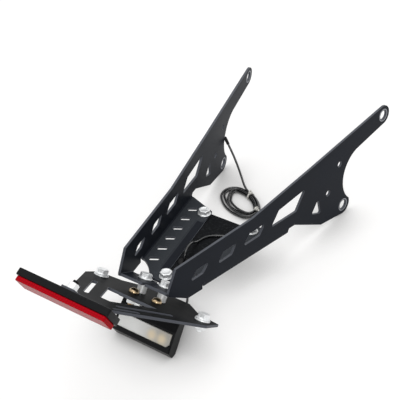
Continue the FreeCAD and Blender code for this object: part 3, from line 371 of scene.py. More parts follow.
def finish(name):
    """The material of that name, made when it is first asked for."""
    ready = bpy.data.materials.get(name)
    if ready:
        return ready
    shades = bpy.context.scene.fender_colours
    makers = {
        "powder_coat": lambda: powder_coat(
            name, shades.coat, linear("#22262e"), gloss=0.062, veil=0.75, dust_and_sheen=0.2),
        "bracket_coat": lambda: powder_coat(
            name, shades.bracket_coat, linear("#1a1b1d"), gloss=0.015, veil=0.1, dust_and_sheen=0.12),
        # Edge coat: partly thinner coat on the edges, partly a painted highlight where they catch light
        "powder_coat_edge_and_highlight": lambda: powder_coat(
            name, shades.edge_coat_and_highlight, linear("#5a5d65"), gloss=0.3, veil=0.0, dust_and_sheen=0.16),
        "bright_zinc": lambda: plated(
            name, shades.zinc, linear("#f0f3f5"), metal=0.5, grain=6.0, smooth=0.3, rough=0.5),
        "yellow_passivate": lambda: plated(
            name, shades.yellow_zinc, linear("#a8906f"), metal=1.0, grain=4.0, smooth=0.24, rough=0.4),
        "moulded_abs": lambda: moulded(
            name, shades.moulding, linear("#131416"), gloss=0.12, smooth=0.22, rough=0.36, grain=0.8),
        "lamp_polycarbonate": lambda: lamp_polycarbonate(
            name, shades.lamp_lens, dim=linear("#bdb9b0"), glow=linear("#fbe9c6")),
        "lamp_tray_white": lambda: moulded(
            name, shades.lamp_tray, linear("#dedfda"), gloss=0.5, smooth=0.4, rough=0.5, grain=0.8),
        "diode_phosphor": lambda: moulded(
            name, shades.phosphor, linear("#f0d487"), gloss=0.4, smooth=0.3, rough=0.4, grain=0.5),
        "reflector_acrylic": lambda: reflector_acrylic(name, shades.red_lens),
        "moulded_rubber": lambda: moulded(
            name, shades.rubber, linear("#232324"), gloss=0.2, smooth=0.5, rough=0.7, grain=0.6),
        "cable_vinyl": lambda: moulded(
            name, shades.cable, linear("#16171a"), gloss=0.9, smooth=0.16, rough=0.28, grain=0.9),
        "tie_nylon": lambda: moulded(
            name, shades.nylon, linear("#e2e0d8"), gloss=0.5, smooth=0.35, rough=0.45, grain=0.7),
        "studio_floor": lambda: studio_floor(name, shades.floor),
    }
    return makers[name]()


# Mesh helpers

SAME_POINT = 0.002 * MM


def make_piece(name, bm, material_names, smooth_angle=38.0):
    """Turns a bmesh into an object at the origin, smooth except at its sharp edges."""
    mesh = bpy.data.meshes.new(name)
    bm.to_mesh(mesh)
    bm.free()
    mesh.shade_smooth()
    mesh.set_sharp_from_angle(angle=math.radians(smooth_angle))
    for material_name in material_names:
        mesh.materials.append(finish(material_name))
    piece = bpy.data.objects.new(name, mesh)
    bpy.context.scene.collection.objects.link(piece)
    return piece


def dress(piece, slot, *nodes):
    """Ties a piece to the frame and hides the solids it stands for; the slot it is given is not used."""
    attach(piece, "root")
    if nodes:
        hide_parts(*nodes)


def is_cut_edge(face):
    """True for the narrow faces that cutting leaves round a sheet."""
    sides = [edge.calc_length() / MM for edge in face.edges]
    breadth = face.calc_area() / MM ** 2 / (0.5 * sum(sides))
    return breadth < SHEET and any(abs(side - SHEET) < 0.1 for side in sides)


def solid_copy(name, material_names, width, segments):
    """A solid's own shape with its doubles merged, its flat faces joined and its edges rounded."""
    bm = bmesh.new()
    bm.from_mesh(NODES[name].data)
    bmesh.ops.remove_doubles(bm, verts=bm.verts, dist=SAME_POINT)
    bmesh.ops.dissolve_limit(bm, angle_limit=math.radians(0.5), verts=bm.verts, edges=bm.edges)
    # The last material takes the cut edges: on coated sheet it is the edge coat, partly a painted highlight
    for face in bm.faces:
        face.material_index = len(material_names) - 1 if is_cut_edge(face) else 0
    piece = make_piece(name + "_dressed", bm, material_names, 30.0)
    rounding = piece.modifiers.new("rounded_edges", "BEVEL")
    rounding.width = width
    rounding.segments = segments
    rounding.profile = 0.5
    rounding.limit_method = "ANGLE"
    rounding.angle_limit = math.radians(32)
    rounding.use_clamp_overlap = False
    rounding.harden_normals = True
    # Rounded edges take the last material too: on coated sheet, the edge coat with its painted highlight
    rounding.material = len(material_names) - 1
    return piece


def round_off(bm, edges, millimetres):
    bmesh.ops.bevel(bm, geom=edges, offset=millimetres * MM, offset_type="OFFSET", affect="EDGES",
                    segments=3, profile=0.5, material=-1)


def six_sided(angle):
    """How much further out a hexagon is at that angle than its flats are."""
    return 1.0 / math.cos(angle % (math.pi / 3) - math.pi / 6)


def shape_ring(verts, radius, height, hexed, droop):
    for vert in verts:
        angle = math.atan2(vert.co.y, vert.co.x)
        reach = radius * six_sided(angle) if hexed else radius
        vert.co.x = reach * math.cos(angle) * MM
        vert.co.y = reach * math.sin(angle) * MM
        vert.co.z = (height - droop * (reach - radius)) * MM


def verts_since(bm, old):
    return [vert for vert in bm.verts if vert not in old]


def settle(bm, verts, place):
    """Turns the faces of new points outward and moves them to their place."""
    bmesh.ops.recalc_face_normals(bm, faces=list({face for vert in verts for face in vert.link_faces}))
    bmesh.ops.transform(bm, matrix=place, verts=verts)


def turn_solid(bm, place, rings, hollow=False, segments=48):
    """Extrudes a circle through rings of radius, height, hexagon and droop of its corners, and closes it."""
    old = set(bm.verts)
    bmesh.ops.create_circle(bm, segments=segments, radius=1.0)
    ring = verts_since(bm, old)
    first_edges = list({edge for vert in ring for edge in vert.link_edges})
    edges = first_edges
    for count, spec in enumerate(rings):
        radius, height, hexed, droop = (tuple(spec) + (False, 0.0))[:4]
        if count:
            grown = bmesh.ops.extrude_edge_only(bm, edges=edges)["geom"]
            ring = [item for item in grown if isinstance(item, bmesh.types.BMVert)]
            fresh = set(ring)
            edges = [item for item in grown
                     if isinstance(item, bmesh.types.BMEdge) and set(item.verts) <= fresh]
        shape_ring(ring, radius, height, hexed, droop)
    if hollow:
        bmesh.ops.bridge_loops(bm, edges=first_edges + edges)
    else:
        bmesh.ops.holes_fill(bm, edges=first_edges + edges, sides=segments)
    settle(bm, verts_since(bm, old), place)


def cut_thread(bm, place, root, crest, low, high, pitch):
    """A helical thread between two heights: its profile is spun once, rising one pitch."""
    old = set(bm.verts)
    turns = max(1, int((high - low) / pitch))
    profile = []
    for turn in range(turns):
        foot = low + turn * pitch
        profile += [(root, foot), (crest, foot + 0.4 * pitch), (crest, foot + 0.5 * pitch),
                    (root, foot + 0.9 * pitch)]
    profile.append((root, low + turns * pitch))
    verts = [bm.verts.new((radius * MM, 0.0, height * MM)) for radius, height in profile]
    line = [bm.edges.new(pair) for pair in zip(verts, verts[1:])]
    steps = 24
    bmesh.ops.spin(bm, geom=verts + line, cent=(0, 0, 0), axis=(0, 0, 1), angle=math.tau, steps=steps,
                   dvec=(0, 0, pitch * MM / steps), use_merge=False, use_duplicate=False)
    bmesh.ops.remove_doubles(bm, verts=verts_since(bm, old), dist=SAME_POINT)
    loose = {edge for vert in verts_since(bm, old) for edge in vert.link_edges if edge.is_boundary}
    bmesh.ops.holes_fill(bm, edges=list(loose), sides=0)
    settle(bm, verts_since(bm, old), place)


CHAMFER = math.tan(math.radians(30))


def flange_bolt(bm, place, shank, pitch):
    """Flanged hexagon bolt with a dished head: place is the underside of its head."""
    half = 5.0
    crown = 4.7
    top = 5.4
    turn_solid(bm, place, [
        (2.0, -shank), (2.42, -shank + 0.5), (2.42, 0.0), (6.15, 0.0), (6.5, 0.22), (6.5, 0.75),
        (6.25, 1.0), (5.35, 1.55), (half, 1.85, True), (half, top - (half - crown) * CHAMFER, True, CHAMFER),
        (crown, top), (3.7, top), (3.3, top - 0.3), (1.0, top - 0.35)])
    cut_thread(bm, place, 2.4, 2.98, -shank + 0.4, -0.6, pitch / MM)


def plain_nut(bm, place, across, height, bore):
    """Hexagon nut with both faces chamfered and its bore countersunk."""
    half = across / 2
    crown = half * 0.95
    edge = (half - crown) * CHAMFER
    turn_solid(bm, place, [
        (crown, 0.0), (half, edge, True, -CHAMFER), (half, height - edge, True, CHAMFER), (crown, height),
        (bore + 0.35, height), (bore, height - 0.35), (bore, 0.35), (bore + 0.35, 0.0)], hollow=True)


def plain_washer(bm, place, outer, bore, thickness):
    """Stamped washer: one rim rolled by the punch."""
    turn_solid(bm, place, [
        (outer - 0.1, 0.0), (outer, 0.1), (outer, thickness - 0.35), (outer - 0.12, thickness - 0.1),
        (outer - 0.4, thickness), (bore + 0.25, thickness), (bore, thickness - 0.25), (bore, 0.1),
        (bore + 0.1, 0.0)], hollow=True)


# Cable: its points from the gland over the panels, on the table and up to its end, in millimetres

LEAD_LEVEL = [
    (10.0, -169.76, -32.13), (10.0, -164.31, -35.67), (9.5, -140.0, -43.2), (6.0, -131.0, -37.0),
    (1.5, -128.5, -26.0), (0.0, -128.0, -12.0), (0.0, -128.0, 9.5), (-5.0, -112.0, 11.0),
    (-7.5, -97.0, 1.3), (-5.5, -84.0, 1.3), (3.0, -76.0, 1.3), (14.5, -71.5, 1.3), (15.0, -58.0, 1.3),
    (14.0, -44.5, 2.1), (12.0, -34.0, -4.0), (9.0, -24.0, -11.0),
]
LEAD_TABLE = [(4.0, 63.0, 7.5)]
TAIL_TABLE = [
    (-34.0, 106.0, 6.8), (-41.0, 113.0, 9.0), (-49.5, 119.5, 17.5), (-61.0, 126.3, 30.0),
    (-72.3, 131.0, 42.1),
]
COIL_END_RADIUS = 9.0
COIL_END_REACH = 15.0
COIL_SIDE_RADIUS = 37.88
COIL_SIDE_INSET = 24.68
# Ways out of the coil's middle line at the points of half a turn: along one side, then round one end
HALF_TURN = [-26.0, -17.3, -8.7, 0.0, 8.7, 17.3, 26.0, 38.0, 73.0, 107.0, 142.0]
COIL_START = [-74.0, -38.0]
COIL_LEAVE = 13.7
TIE_ANGLES = (4.4, -52.0)
# Places of the five strands in strand gaps: out where tied, out where loose, how much shorter the loose
# turn is, and the row it lies in
BUNDLE = [(1.3, 1.8, -0.04, 0.0), (0.3, 0.7, -0.04, 0.0), (-0.7, -1.8, 0.21, 0.0), (-0.2, -1.2, 0.17, 1.0),
          (0.8, 1.3, 0.0, 1.0)]
ROW_RISE = 0.866
LOOSE_ROW_RISE = 0.154
TIED_HEIGHT = 2.4
LOOSE_DROP = 1.1
# Angles round the coil where a strand comes loose and is tied again, and where it moves on one place
LOOSE_FROM = (20.0, 160.0)
LOOSE_TO = (200.0, 330.0)
MOVES_ON = (125.0, 235.0)
# Share of that move in which a strand climbs to the upper row, and how far along the coil it gets shorter
CLIMB = (0.12, 0.42)
SHORTER = (-12.0, 22.0)
# A turn is counted from this far before the coil's zero, and is loose again from this far before it
TURN_LEAD = 110.0
LOOSE_LEAD = 60.0


def eased(value, low, high):
    share = min(1.0, max(0.0, (value - low) / (high - low)))
    return share * share * (3.0 - 2.0 * share)


def coil_line(angle):
    """Middle line of the coil, an oval of four arcs, and its outward way, at an angle of that way."""
    turn = math.radians(angle)
    out = Vector((math.cos(turn), math.sin(turn), 0.0))
    reach = math.degrees(math.atan2(COIL_END_REACH, COIL_SIDE_INSET))
    folded = math.degrees(math.acos(abs(out.x)))
    if folded < reach:
        return Vector((-math.copysign(COIL_SIDE_INSET, out.x), 0.0, 0.0)) + out * COIL_SIDE_RADIUS, out
    return Vector((0.0, math.copysign(COIL_END_REACH, out.y), 0.0)) + out * COIL_END_RADIUS, out


def coil_angles(turns):
    angles = list(COIL_START)
    for half in range(2 * turns + 1):
        angles += [180.0 * half + angle for angle in HALF_TURN]
    last = COIL_LEAVE + 360.0 * turns
    return [angle for angle in angles if angle < last - 8.0] + [last]


def strand_point(angle, gap, spread):
    """Where the cable is after that much turning: each turn moves on one place where the coil is loose."""
    turn = math.floor((angle + TURN_LEAD) / 360.0)
    inside = angle - 360.0 * turn
    round_again = inside + 360.0 if inside < -LOOSE_LEAD else inside
    loose = eased(round_again, *LOOSE_FROM) * (1.0 - eased(round_again, *LOOSE_TO))
    moved = eased(inside, *MOVES_ON)
    last = len(BUNDLE) - 1
    places = []
    for tied, free, shorter, row in (BUNDLE[min(turn, last)], BUNDLE[min(turn + 1, last)]):
        places.append(Vector((tied + (free - tied) * loose * spread, shorter * loose * spread, row)))
    here, after = places
    place = here.lerp(after, moved)
    if after.z > here.z:
        place.z = eased(moved, *CLIMB)
    middle, out = coil_line(inside)
    point = middle + out * (place.x * gap)
    point.y *= 1.0 - place.y * eased(point.y, *SHORTER)
    point.z = TIED_HEIGHT - LOOSE_DROP * loose + place.z * gap * (ROW_RISE + LOOSE_ROW_RISE * loose)
    return point


class FENDER_OT_cable(bpy.types.Operator):
    """Lays the lamp's cable from its gland to the coil and up to its end"""

    bl_idname = "fender.cable"
    bl_label = "Cable, coil and ties"

    def execute(self, context):
        sizes = context.scene.fender_sizes
        gap = sizes.strand_gap / MM
        route = [LEVEL @ (Vector(point) * MM) for point in LEAD_LEVEL]
        route += [Vector(point) * MM for point in LEAD_TABLE]
        for angle in coil_angles(sizes.coil_turns):
            route.append(COIL @ (strand_point(angle, gap, sizes.loose_spread) * MM))
        route += [Vector(point) * MM for point in TAIL_TABLE]
        curve = bpy.data.curves.new("lamp_cable", "CURVE")
        curve.dimensions = "3D"
        curve.bevel_depth = sizes.cable_diameter / 2
        curve.bevel_resolution = 4
        curve.resolution_u = 6
        curve.use_fill_caps = True
        spline = curve.splines.new("NURBS")
        spline.points.add(len(route) - 1)
        for point, spot in zip(spline.points, route):
            point.co = (spot.x, spot.y, spot.z, 1.0)
        spline.order_u = 3
        spline.use_endpoint_u = True
        curve.materials.append(finish("cable_vinyl"))
        cable = bpy.data.objects.new("lamp_cable", curve)
        context.scene.collection.objects.link(cable)
        dress(cable, "cable_black", "cable_lead", "cable_coil", "cable_tail")
        sleeve = self.end_sleeve(route[-2], route[-1])
        ties = self.zip_ties(gap)
        tuple(route[0])
        return {"FINISHED"}

    def end_sleeve(self, before, end):
        """Shrunk sleeve over a bullet connector on the cable's end."""
        way = (end - before).normalized()
        place = Matrix.Translation(end) @ Vector((0, 0, 1)).rotation_difference(way).to_matrix().to_4x4()
        bm = bmesh.new()
        turn_solid(bm, place, [
            (1.3, -9.0), (1.62, -8.7), (1.7, -7.0), (1.62, -6.0), (1.8, -4.5), (1.8, -1.0), (1.7, -0.3),
            (1.45, 0.0), (1.0, 0.02)], segments=24)
        sleeve = make_piece("cable_end_sleeve", bm, ["moulded_rubber"])
        dress(sleeve, "cable_black", "cable_sleeve")
        return sleeve

    def zip_ties(self, gap):
        """Two nylon ties: a band drawn tight round the bundle, its lock and its cut tail."""
        bm = bmesh.new()
        for angle in TIE_ANGLES:
            middle, out = coil_line(angle)
            turn = Matrix.Rotation(math.atan2(out.y, out.x), 4, "Z")
            place = COIL @ Matrix.Translation(middle * MM) @ turn @ placed(z=TIED_HEIGHT)
            self.tie(bm, place, gap)
        ties = make_piece("nylon_ties", bm, ["tie_nylon"])
        dress(ties, "tie_white", "zip_ties")
        return ties

    def tie(self, bm, place, gap):
        """One tie: the band is the hull of the strands, with its ends taken off and thickened."""
        width = 2.2
        snug = 1.28 * MM
        band = bmesh.new()
        for out, _, _, row in BUNDLE:
            for end in (-0.5, 0.5):
                spot = placed(out * gap, end * width, row * ROW_RISE * gap, about_x=90.0)
                bmesh.ops.create_circle(band, segments=24, radius=snug, matrix=spot)
        hull = bmesh.ops.convex_hull(band, input=band.verts)
        spare = hull["geom_interior"] + hull["geom_unused"]
        inner = [item for item in spare if isinstance(item, bmesh.types.BMVert)]
        bmesh.ops.delete(band, geom=inner, context="VERTS")
        ends = [face for face in band.faces if abs(face.normal.y) > 0.9]
        bmesh.ops.delete(band, geom=ends, context="FACES")
        wires = [edge for edge in band.edges if not edge.link_faces]
        bmesh.ops.delete(band, geom=wires, context="EDGES")
        bmesh.ops.recalc_face_normals(band, faces=band.faces)
        bmesh.ops.solidify(band, geom=band.faces[:], thickness=-0.6 * MM)
        self.rounded_box(band, (0.8, 0.0, 4.9), (3.6, 3.4, 2.4), 0.4)
        self.rounded_box(band, (1.5, 0.0, 6.8), (0.8, 2.0, 2.0), 0.15)
        bmesh.ops.transform(band, matrix=place, verts=band.verts)
        joined = bpy.data.meshes.new("tie_part")
        band.to_mesh(joined)
        band.free()
        bm.from_mesh(joined)
        bpy.data.meshes.remove(joined)

    def rounded_box(self, bm, middle, sides, edge):
        """A box with rounded edges, in millimetres."""
        old = set(bm.verts)
        spot = placed(*middle) @ Matrix.Diagonal((*(Vector(sides) * MM), 1.0))
        bmesh.ops.create_cube(bm, size=1.0, matrix=spot)
        rims = list({rim for vert in verts_since(bm, old) for rim in vert.link_edges})
        round_off(bm, rims, edge)


# Inner margin of a slotted panel: its frame has Y along the inner edge and X from there to the wall.
# It bends between two distances from the edge, and the bend fades in and out along it.
MARGIN = placed(0.66, -164.92, about_z=-10.8)
MARGIN_BEND = (9.0, 7.0)
MARGIN_ENDS = (16.0, 22.0, 101.0, 107.0)
MARGIN_SLOPE = 0.22


class FENDER_OT_sheet(bpy.types.Operator):
    """Rounds the coated edges of the side plates, the centre panel and the bracket"""

    bl_idname = "fender.sheet"
    bl_label = "Coated sheet"

    def execute(self, context):
        width = context.scene.fender_sizes.edge_break
        coats = {
            "right_side_plate": "powder_coat",
            "left_side_plate": "powder_coat",
            "centre_panel": "bracket_coat",
            "plate_bracket": "bracket_coat",
        }
        for name, coat in coats.items():
            # The edge coat, partly a painted highlight, goes on the cut and rounded edges
            piece = solid_copy(name, [coat, "powder_coat_edge_and_highlight"], width, 2)
            if coat == "powder_coat":
                self.dip_margin(piece)
            dress(piece, "sheet_paint", name)
        return {"FINISHED"}

    def dip_margin(self, piece):
        """Bends the inner margin of a slotted panel down a little between its bolts."""
        bm = bmesh.new()
        bm.from_mesh(piece.data)
        side = math.copysign(1.0, sum(vert.co.x for vert in bm.verts))
        panel = LEVEL @ Matrix.Diagonal((side, 1.0, 1.0, 1.0)) @ MARGIN
        to_panel = panel.inverted()
        wide, narrow = MARGIN_BEND
        start, full, over, end = MARGIN_ENDS
        for reach in MARGIN_BEND:
            self.score(bm, self.top_faces(bm, to_panel), panel, Vector((reach, 0.0, 0.0)))
        for reach in MARGIN_ENDS:
            self.score(bm, self.top_faces(bm, to_panel, wide), panel, Vector((0.0, reach, 0.0)))
        strip = self.top_faces(bm, to_panel, wide)
        for vert in {vert for face in strip for vert in face.verts}:
            spot = to_panel @ vert.co / MM
            share = eased(spot.y, start, full) * (1.0 - eased(spot.y, over, end))
            bent = min(wide - narrow, wide - spot.x) / 2 + max(0.0, narrow - spot.x)
            spot.z -= bent * MARGIN_SLOPE * share
            vert.co = panel @ (spot * MM)
        bmesh.ops.triangulate(bm, faces=strip)
        bm.to_mesh(piece.data)
        bm.free()

    def top_faces(self, bm, to_panel, widest=math.inf):
        """Faces on top of the panel, out to that distance from its inner edge."""
        found = []
        for face in bm.faces:
            spots = [to_panel @ vert.co / MM for vert in face.verts]
            if all(abs(spot.z - SHEET) < 0.02 and spot.x < widest + 0.01 for spot in spots):
                found.append(face)
        return found

    def score(self, bm, faces, panel, spot):
        """Cuts faces through a place on the panel, square to the way there, and keeps the cut crisp."""
        parts = {part for face in faces for part in (*face.verts, *face.edges)}
        way = panel.to_3x3() @ spot.normalized()
        made = bmesh.ops.bisect_plane(bm, geom=faces + list(parts), dist=0.001 * MM,
                                      plane_co=panel @ (spot * MM), plane_no=way)
        for item in made["geom_cut"]:
            if isinstance(item, bmesh.types.BMEdge):
                item.smooth = False


class FENDER_OT_fasteners(bpy.types.Operator):
    """Makes the bolts, washers, spacers and nuts"""

    bl_idname = "fender.fasteners"
    bl_label = "Bolts, washers and nuts"

    def execute(self, context):
        pitch = context.scene.fender_sizes.thread_pitch
        groups = {
            "panel": (LEVEL, PANEL_SPOTS, SHEET, 2 * SHEET + WASHER + NUT + BOLT_END),
            "flange": (BRACKET, FLANGE_SPOTS, SPACER + SHEET, 2 * SHEET + SPACER + FOOT + NUT + BOLT_END),
            "ear": (BRACKET, EAR_SPOTS, WASHER, SHEET + WASHER + NUT + BOLT_END),
        }
        turns = (0.0, 17.0, 41.0)
        for name, (base, spots, seat, shank) in groups.items():
            bolts = bmesh.new()
            nuts = bmesh.new()
            for (x, y), turn in zip(spots, turns):
                flange_bolt(bolts, base @ placed(x, y, seat, about_z=turn), shank, pitch)
                under = base @ placed(x, y, seat - shank + BOLT_END, about_z=turn + 9.0)
                plain_nut(nuts, under, NUT_ACROSS, NUT, 3.05)
            piece = make_piece(name + "_bolts_dressed", bolts, ["bright_zinc"])
            dress(piece, "zinc", name + "_bolts")
            piece = make_piece(name + "_nuts_dressed", nuts, ["bright_zinc"])
            dress(piece, "zinc", name + "_nuts")
        stacks = (("panel", LEVEL, PANEL_SPOTS, -SHEET - WASHER), ("ear", BRACKET, EAR_SPOTS, 0.0))
        for name, base, spots, low in stacks:
            washers = bmesh.new()
            for x, y in spots:
                plain_washer(washers, base @ placed(x, y, low), 7.0, 3.3, WASHER)
            piece = make_piece(name + "_washers_dressed", washers, ["bright_zinc"])
            dress(piece, "zinc", name + "_washers")
        spacers = bmesh.new()
        for x, y in FLANGE_SPOTS:
            turn_solid(spacers, BRACKET @ placed(x, y), [
                (4.2, 0.0), (4.5, 0.3), (4.5, SPACER - 0.3), (4.2, SPACER), (3.5, SPACER),
                (3.3, SPACER - 0.25), (3.3, 0.25), (3.5, 0.0)], hollow=True)
        piece = make_piece("flange_spacers_dressed", spacers, ["bright_zinc"])
        dress(piece, "zinc", "flange_spacers")
        return {"FINISHED"}


class FENDER_OT_lamp(bpy.types.Operator):
    """Makes the number plate lamp: housing, lens, tray, diodes, gland and its dome bolts"""

    bl_idname = "fender.lamp"
    bl_label = "Number plate lamp"

    def execute(self, context):
        sizes = context.scene.fender_sizes
        housing = solid_copy("light_housing", ["moulded_abs"], sizes.moulded_edge, 3)
        dress(housing, "black_plastic", "light_housing")
        lens = solid_copy("light_lens", ["lamp_polycarbonate"], 0.6 * MM, 3)
        dress(lens, "clear_plastic", "light_lens")
        for name, material_name in (("light_gasket", "moulded_rubber"), ("light_board", "lamp_tray_white")):
            paint_node(name, material_name)
        self.lip()
        self.diodes()
        self.dome_bolts(sizes.thread_pitch)
        self.gland()
        return {"FINISHED"}

    def lip(self):
        """Raised lip of the housing along the lens's lower edge, with its cut corner."""
        bm = bmesh.new()
        outline = [(-31.2, -41.6), (31.2, -41.6), (31.2, -34.6), (29.6, -34.6), (26.8, -37.3), (-31.2, -37.3)]
        face = bm.faces.new([bm.verts.new((x * MM, -7.03 * MM, z * MM)) for x, z in outline])
        grown = bmesh.ops.extrude_face_region(bm, geom=[face])["geom"]
        front = [item for item in grown if isinstance(item, bmesh.types.BMVert)]
        bmesh.ops.translate(bm, vec=(0.0, -0.9 * MM, 0.0), verts=front)
        bmesh.ops.recalc_face_normals(bm, faces=bm.faces)
        rims = [edge for edge in bm.edges if edge.calc_face_angle(0.0) > 0.5]
        round_off(bm, rims, 0.3)
        bmesh.ops.transform(bm, matrix=BRACKET, verts=bm.verts)
        piece = make_piece("lamp_lip", bm, ["moulded_abs"])
        dress(piece, "black_plastic")

    def diodes(self):
        bm = bmesh.new()
        for x in DIODE_SPOTS:
            place = BRACKET @ placed(x, 1.4, DIODE_Z, about_x=90.0)
            turn_solid(bm, place, [
                (1.9, 0.0), (2.0, 0.2), (2.0, 1.2), (1.8, 1.6), (1.3, 2.05), (0.7, 2.3), (0.2, 2.38)],
                segments=32)
        piece = make_piece("diodes_dressed", bm, ["diode_phosphor"])
        dress(piece, "led_warm", "light_leds")

    def dome_bolts(self, pitch):
        bolts = bmesh.new()
        nuts = bmesh.new()
        shank = SHEET + FOOT + DOME_NUT + BOLT_END
        leans = [math.radians(lean) for lean in range(0, 86, 10)]
        dome = [(4.75 * math.cos(lean), 0.35 + 4.0 * math.sin(lean)) for lean in leans]
        for x, y in DOME_SPOTS:
            place = BRACKET @ placed(x, y)
            turn_solid(bolts, place, [(1.7, -shank), (2.0, -shank + 0.4), (2.0, 0.0), (4.5, 0.0)] + dome)
            cut_thread(bolts, place, 1.98, 2.48, -shank + 0.3, -0.5, 0.8 * pitch / MM)
            plain_nut(nuts, BRACKET @ placed(x, y, -SHEET - FOOT - DOME_NUT), 8.0, DOME_NUT, 2.55)
        piece = make_piece("light_bolts_dressed", bolts, ["yellow_passivate"])
        dress(piece, "yellow_zinc", "light_bolts")
        piece = make_piece("light_nuts_dressed", nuts, ["bright_zinc"])
        dress(piece, "zinc", "light_nuts")

    def gland(self):
        bm = bmesh.new()
        place = BRACKET @ placed(10.0, 6.0, -16.5, about_x=-90.0)
        turn_solid(bm, place, [
            (3.5, 0.0), (3.5, 1.0), (3.2, 1.2), (2.9, 1.4), (2.9, 1.8), (3.1, 2.0), (3.1, 2.5), (2.7, 2.7),
            (2.5, 2.9), (2.5, 3.3), (2.7, 3.5), (2.7, 3.9), (2.2, 4.2), (1.9, 4.8), (1.6, 5.0), (1.3, 5.0)],
            segments=32)
        piece = make_piece("light_gland_dressed", bm, ["moulded_rubber"])
        dress(piece, "black_rubber", "light_gland")


def paint_node(name, material_name):
    """Gives a solid that shows as it is its material."""
    shown = NODES[name]
    if not shown.material_slots:
        shown.data.materials.append(None)
    for place in shown.material_slots:
        place.material = finish(material_name)


SOLID_JOINT = -9.5
REAL_JOINT = -8.7


class FENDER_OT_reflector(bpy.types.Operator):
    """Makes the reflector, its washer and its nut"""

    bl_idname = "fender.reflector"
    bl_label = "Reflector"

    def execute(self, context):
        base = solid_copy("reflector_base", ["moulded_abs"], 0.7 * MM, 3)
        self.move_joint(base)
        dress(base, "black_plastic", "reflector_base")
        lens = solid_copy("reflector_lens", ["reflector_acrylic"], 0.8 * MM, 3)
        self.move_joint(lens)
        dress(lens, "red_plastic", "reflector_lens")
        washer = bmesh.new()
        plain_washer(washer, TAB @ placed(*STUD_SPOT), 5.5, 2.8, WASHER)
        piece = make_piece("reflector_washer_dressed", washer, ["bright_zinc"])
        dress(piece, "zinc", "reflector_washer")
        nut = bmesh.new()
        plain_nut(nut, TAB @ placed(*STUD_SPOT, WASHER, about_z=14.0), 8.0, 4.5, 2.6)
        piece = make_piece("reflector_nut_dressed", nut, ["bright_zinc"])
        dress(piece, "zinc", "reflector_nut")
        return {"FINISHED"}

    def move_joint(self, piece):
        """Sets the joint of lens and base further back, so that the lens is the deeper one."""
        to_tab = TAB.inverted()
        for vert in piece.data.vertices:
            spot = to_tab @ vert.co
            if abs(spot.z / MM - SOLID_JOINT) < 0.05:
                spot.z = REAL_JOINT * MM
                vert.co = TAB @ spot


class FENDER_OT_grommet(bpy.types.Operator):
    """Makes the rubber grommet that the cable goes through"""

    bl_idname = "fender.grommet"
    bl_label = "Grommet"

    def execute(self, context):
        bm = bmesh.new()
        place = LEVEL @ placed(0.0, -128.0, -SHEET)
        turn_solid(bm, place, [
            (4.5, 0.0), (5.5, 0.0), (5.9, -0.4), (5.7, -1.1), (5.2, -1.4), (2.0, -1.4), (1.4, -1.0),
            (1.36, 0.0), (1.36, SHEET), (1.4, SHEET + 1.0), (2.0, SHEET + 1.4), (5.2, SHEET + 1.4),
            (5.7, SHEET + 1.1), (5.9, SHEET + 0.4), (5.5, SHEET), (4.5, SHEET)], hollow=True)
        piece = make_piece("grommet_dressed", bm, ["moulded_rubber"])
        dress(piece, "black_rubber", "cable_grommet")
        return {"FINISHED"}


EVEN_LIGHT = 0.7


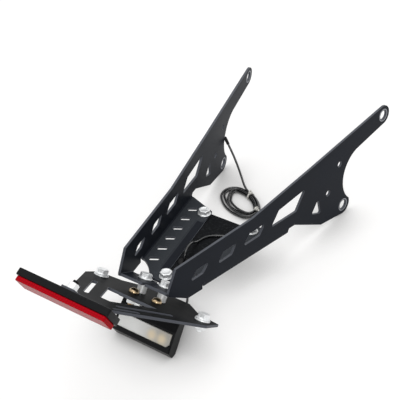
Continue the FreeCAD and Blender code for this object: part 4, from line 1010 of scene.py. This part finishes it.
class FENDER_OT_stage(bpy.types.Operator):
    """Sets up the pale floor, the soft light and the camera"""

    bl_idname = "fender.stage"
    bl_label = "Studio"

    def execute(self, context):
        scene = context.scene
        scene.view_settings.view_transform = "Standard"
        self.floor(scene)
        self.world(scene)
        self.lamp(scene, "softbox_above", (-0.3, 0.2, 1.6), 1.4, 6.0)
        self.lamp(scene, "softbox_front", (0.75, -1.0, 1.1), 0.45, 5.0)
        self.camera(scene)
        return {"FINISHED"}

    def floor(self, scene):
        bm = bmesh.new()
        bmesh.ops.create_grid(bm, x_segments=4, y_segments=4, size=4.0)
        mesh = bpy.data.meshes.new("studio_floor")
        bm.to_mesh(mesh)
        bm.free()
        mesh.materials.append(finish("studio_floor"))
        board = bpy.data.objects.new("studio_floor", mesh)
        scene.collection.objects.link(board)

    def world(self, scene):
        # White to camera, mirror and glass rays, and a plain even light on everything else
        world = bpy.data.worlds.new("studio")
        world.use_nodes = True
        scene.world = world
        tree = world.node_tree
        tree.nodes.clear()
        level = remap(tree, directly_seen(tree), 0.0, 1.0, EVEN_LIGHT, 1.0)
        glow = node(tree, "ShaderNodeBackground", {"Color": (1.0, 1.0, 1.0, 1.0), "Strength": level})
        node(tree, "ShaderNodeOutputWorld", {"Surface": glow.outputs[0]})

    def lamp(self, scene, name, place, size, watts):
        light = bpy.data.lights.new(name, "AREA")
        light.size = size
        light.energy = watts
        lamp = bpy.data.objects.new(name, light)
        lamp.location = place
        lamp.rotation_euler = (-Vector(place)).to_track_quat("-Z", "Y").to_euler()
        scene.collection.objects.link(lamp)

    def camera(self, scene):
        lens = bpy.data.cameras.new("photo_view")
        lens.lens = 81.0
        lens.sensor_width = 36.0
        view = bpy.data.objects.new("photo_view", lens)
        right = Vector((0.8286, 0.5539, -0.0818)).normalized()
        back = right.cross(Vector((-0.3076, 0.5723, 0.7601))).normalized()
        turn = Matrix((right, back.cross(right), back)).transposed()
        view.matrix_world = Matrix.Translation((0.3852, -0.5159, 0.6240)) @ turn.to_4x4()
        scene.collection.objects.link(view)
        scene.camera = view


class FENDER_PT_panel(bpy.types.Panel):
    """Lists the steps that dress the fender"""

    bl_label = "Rear fender"
    bl_idname = "FENDER_PT_panel"
    bl_space_type = "VIEW_3D"
    bl_region_type = "UI"
    bl_category = "Fender"

    def draw(self, context):
        layout = self.layout
        for group in (context.scene.fender_sizes, context.scene.fender_colours):
            box = layout.box()
            for name in group.__annotations__:
                box.prop(group, name)
        for step in STEPS:
            layout.operator(step.bl_idname)


STEPS = (FENDER_OT_stage, FENDER_OT_cable, FENDER_OT_sheet, FENDER_OT_fasteners, FENDER_OT_lamp,
         FENDER_OT_reflector, FENDER_OT_grommet)
CLASSES = (FenderSizes, FenderColours) + STEPS + (FENDER_PT_panel,)


def register():
    for made in CLASSES:
        bpy.utils.register_class(made)
    bpy.types.Scene.fender_sizes = PointerProperty(type=FenderSizes)
    bpy.types.Scene.fender_colours = PointerProperty(type=FenderColours)


def unregister():
    del bpy.types.Scene.fender_colours
    del bpy.types.Scene.fender_sizes
    for made in reversed(CLASSES):
        bpy.utils.unregister_class(made)


def main():
    register()
    bpy.ops.fender.stage()
    bpy.ops.fender.cable()
    bpy.ops.fender.sheet()
    bpy.ops.fender.fasteners()
    bpy.ops.fender.lamp()
    bpy.ops.fender.reflector()
    bpy.ops.fender.grommet()


if __name__ == "__main__":
    main()
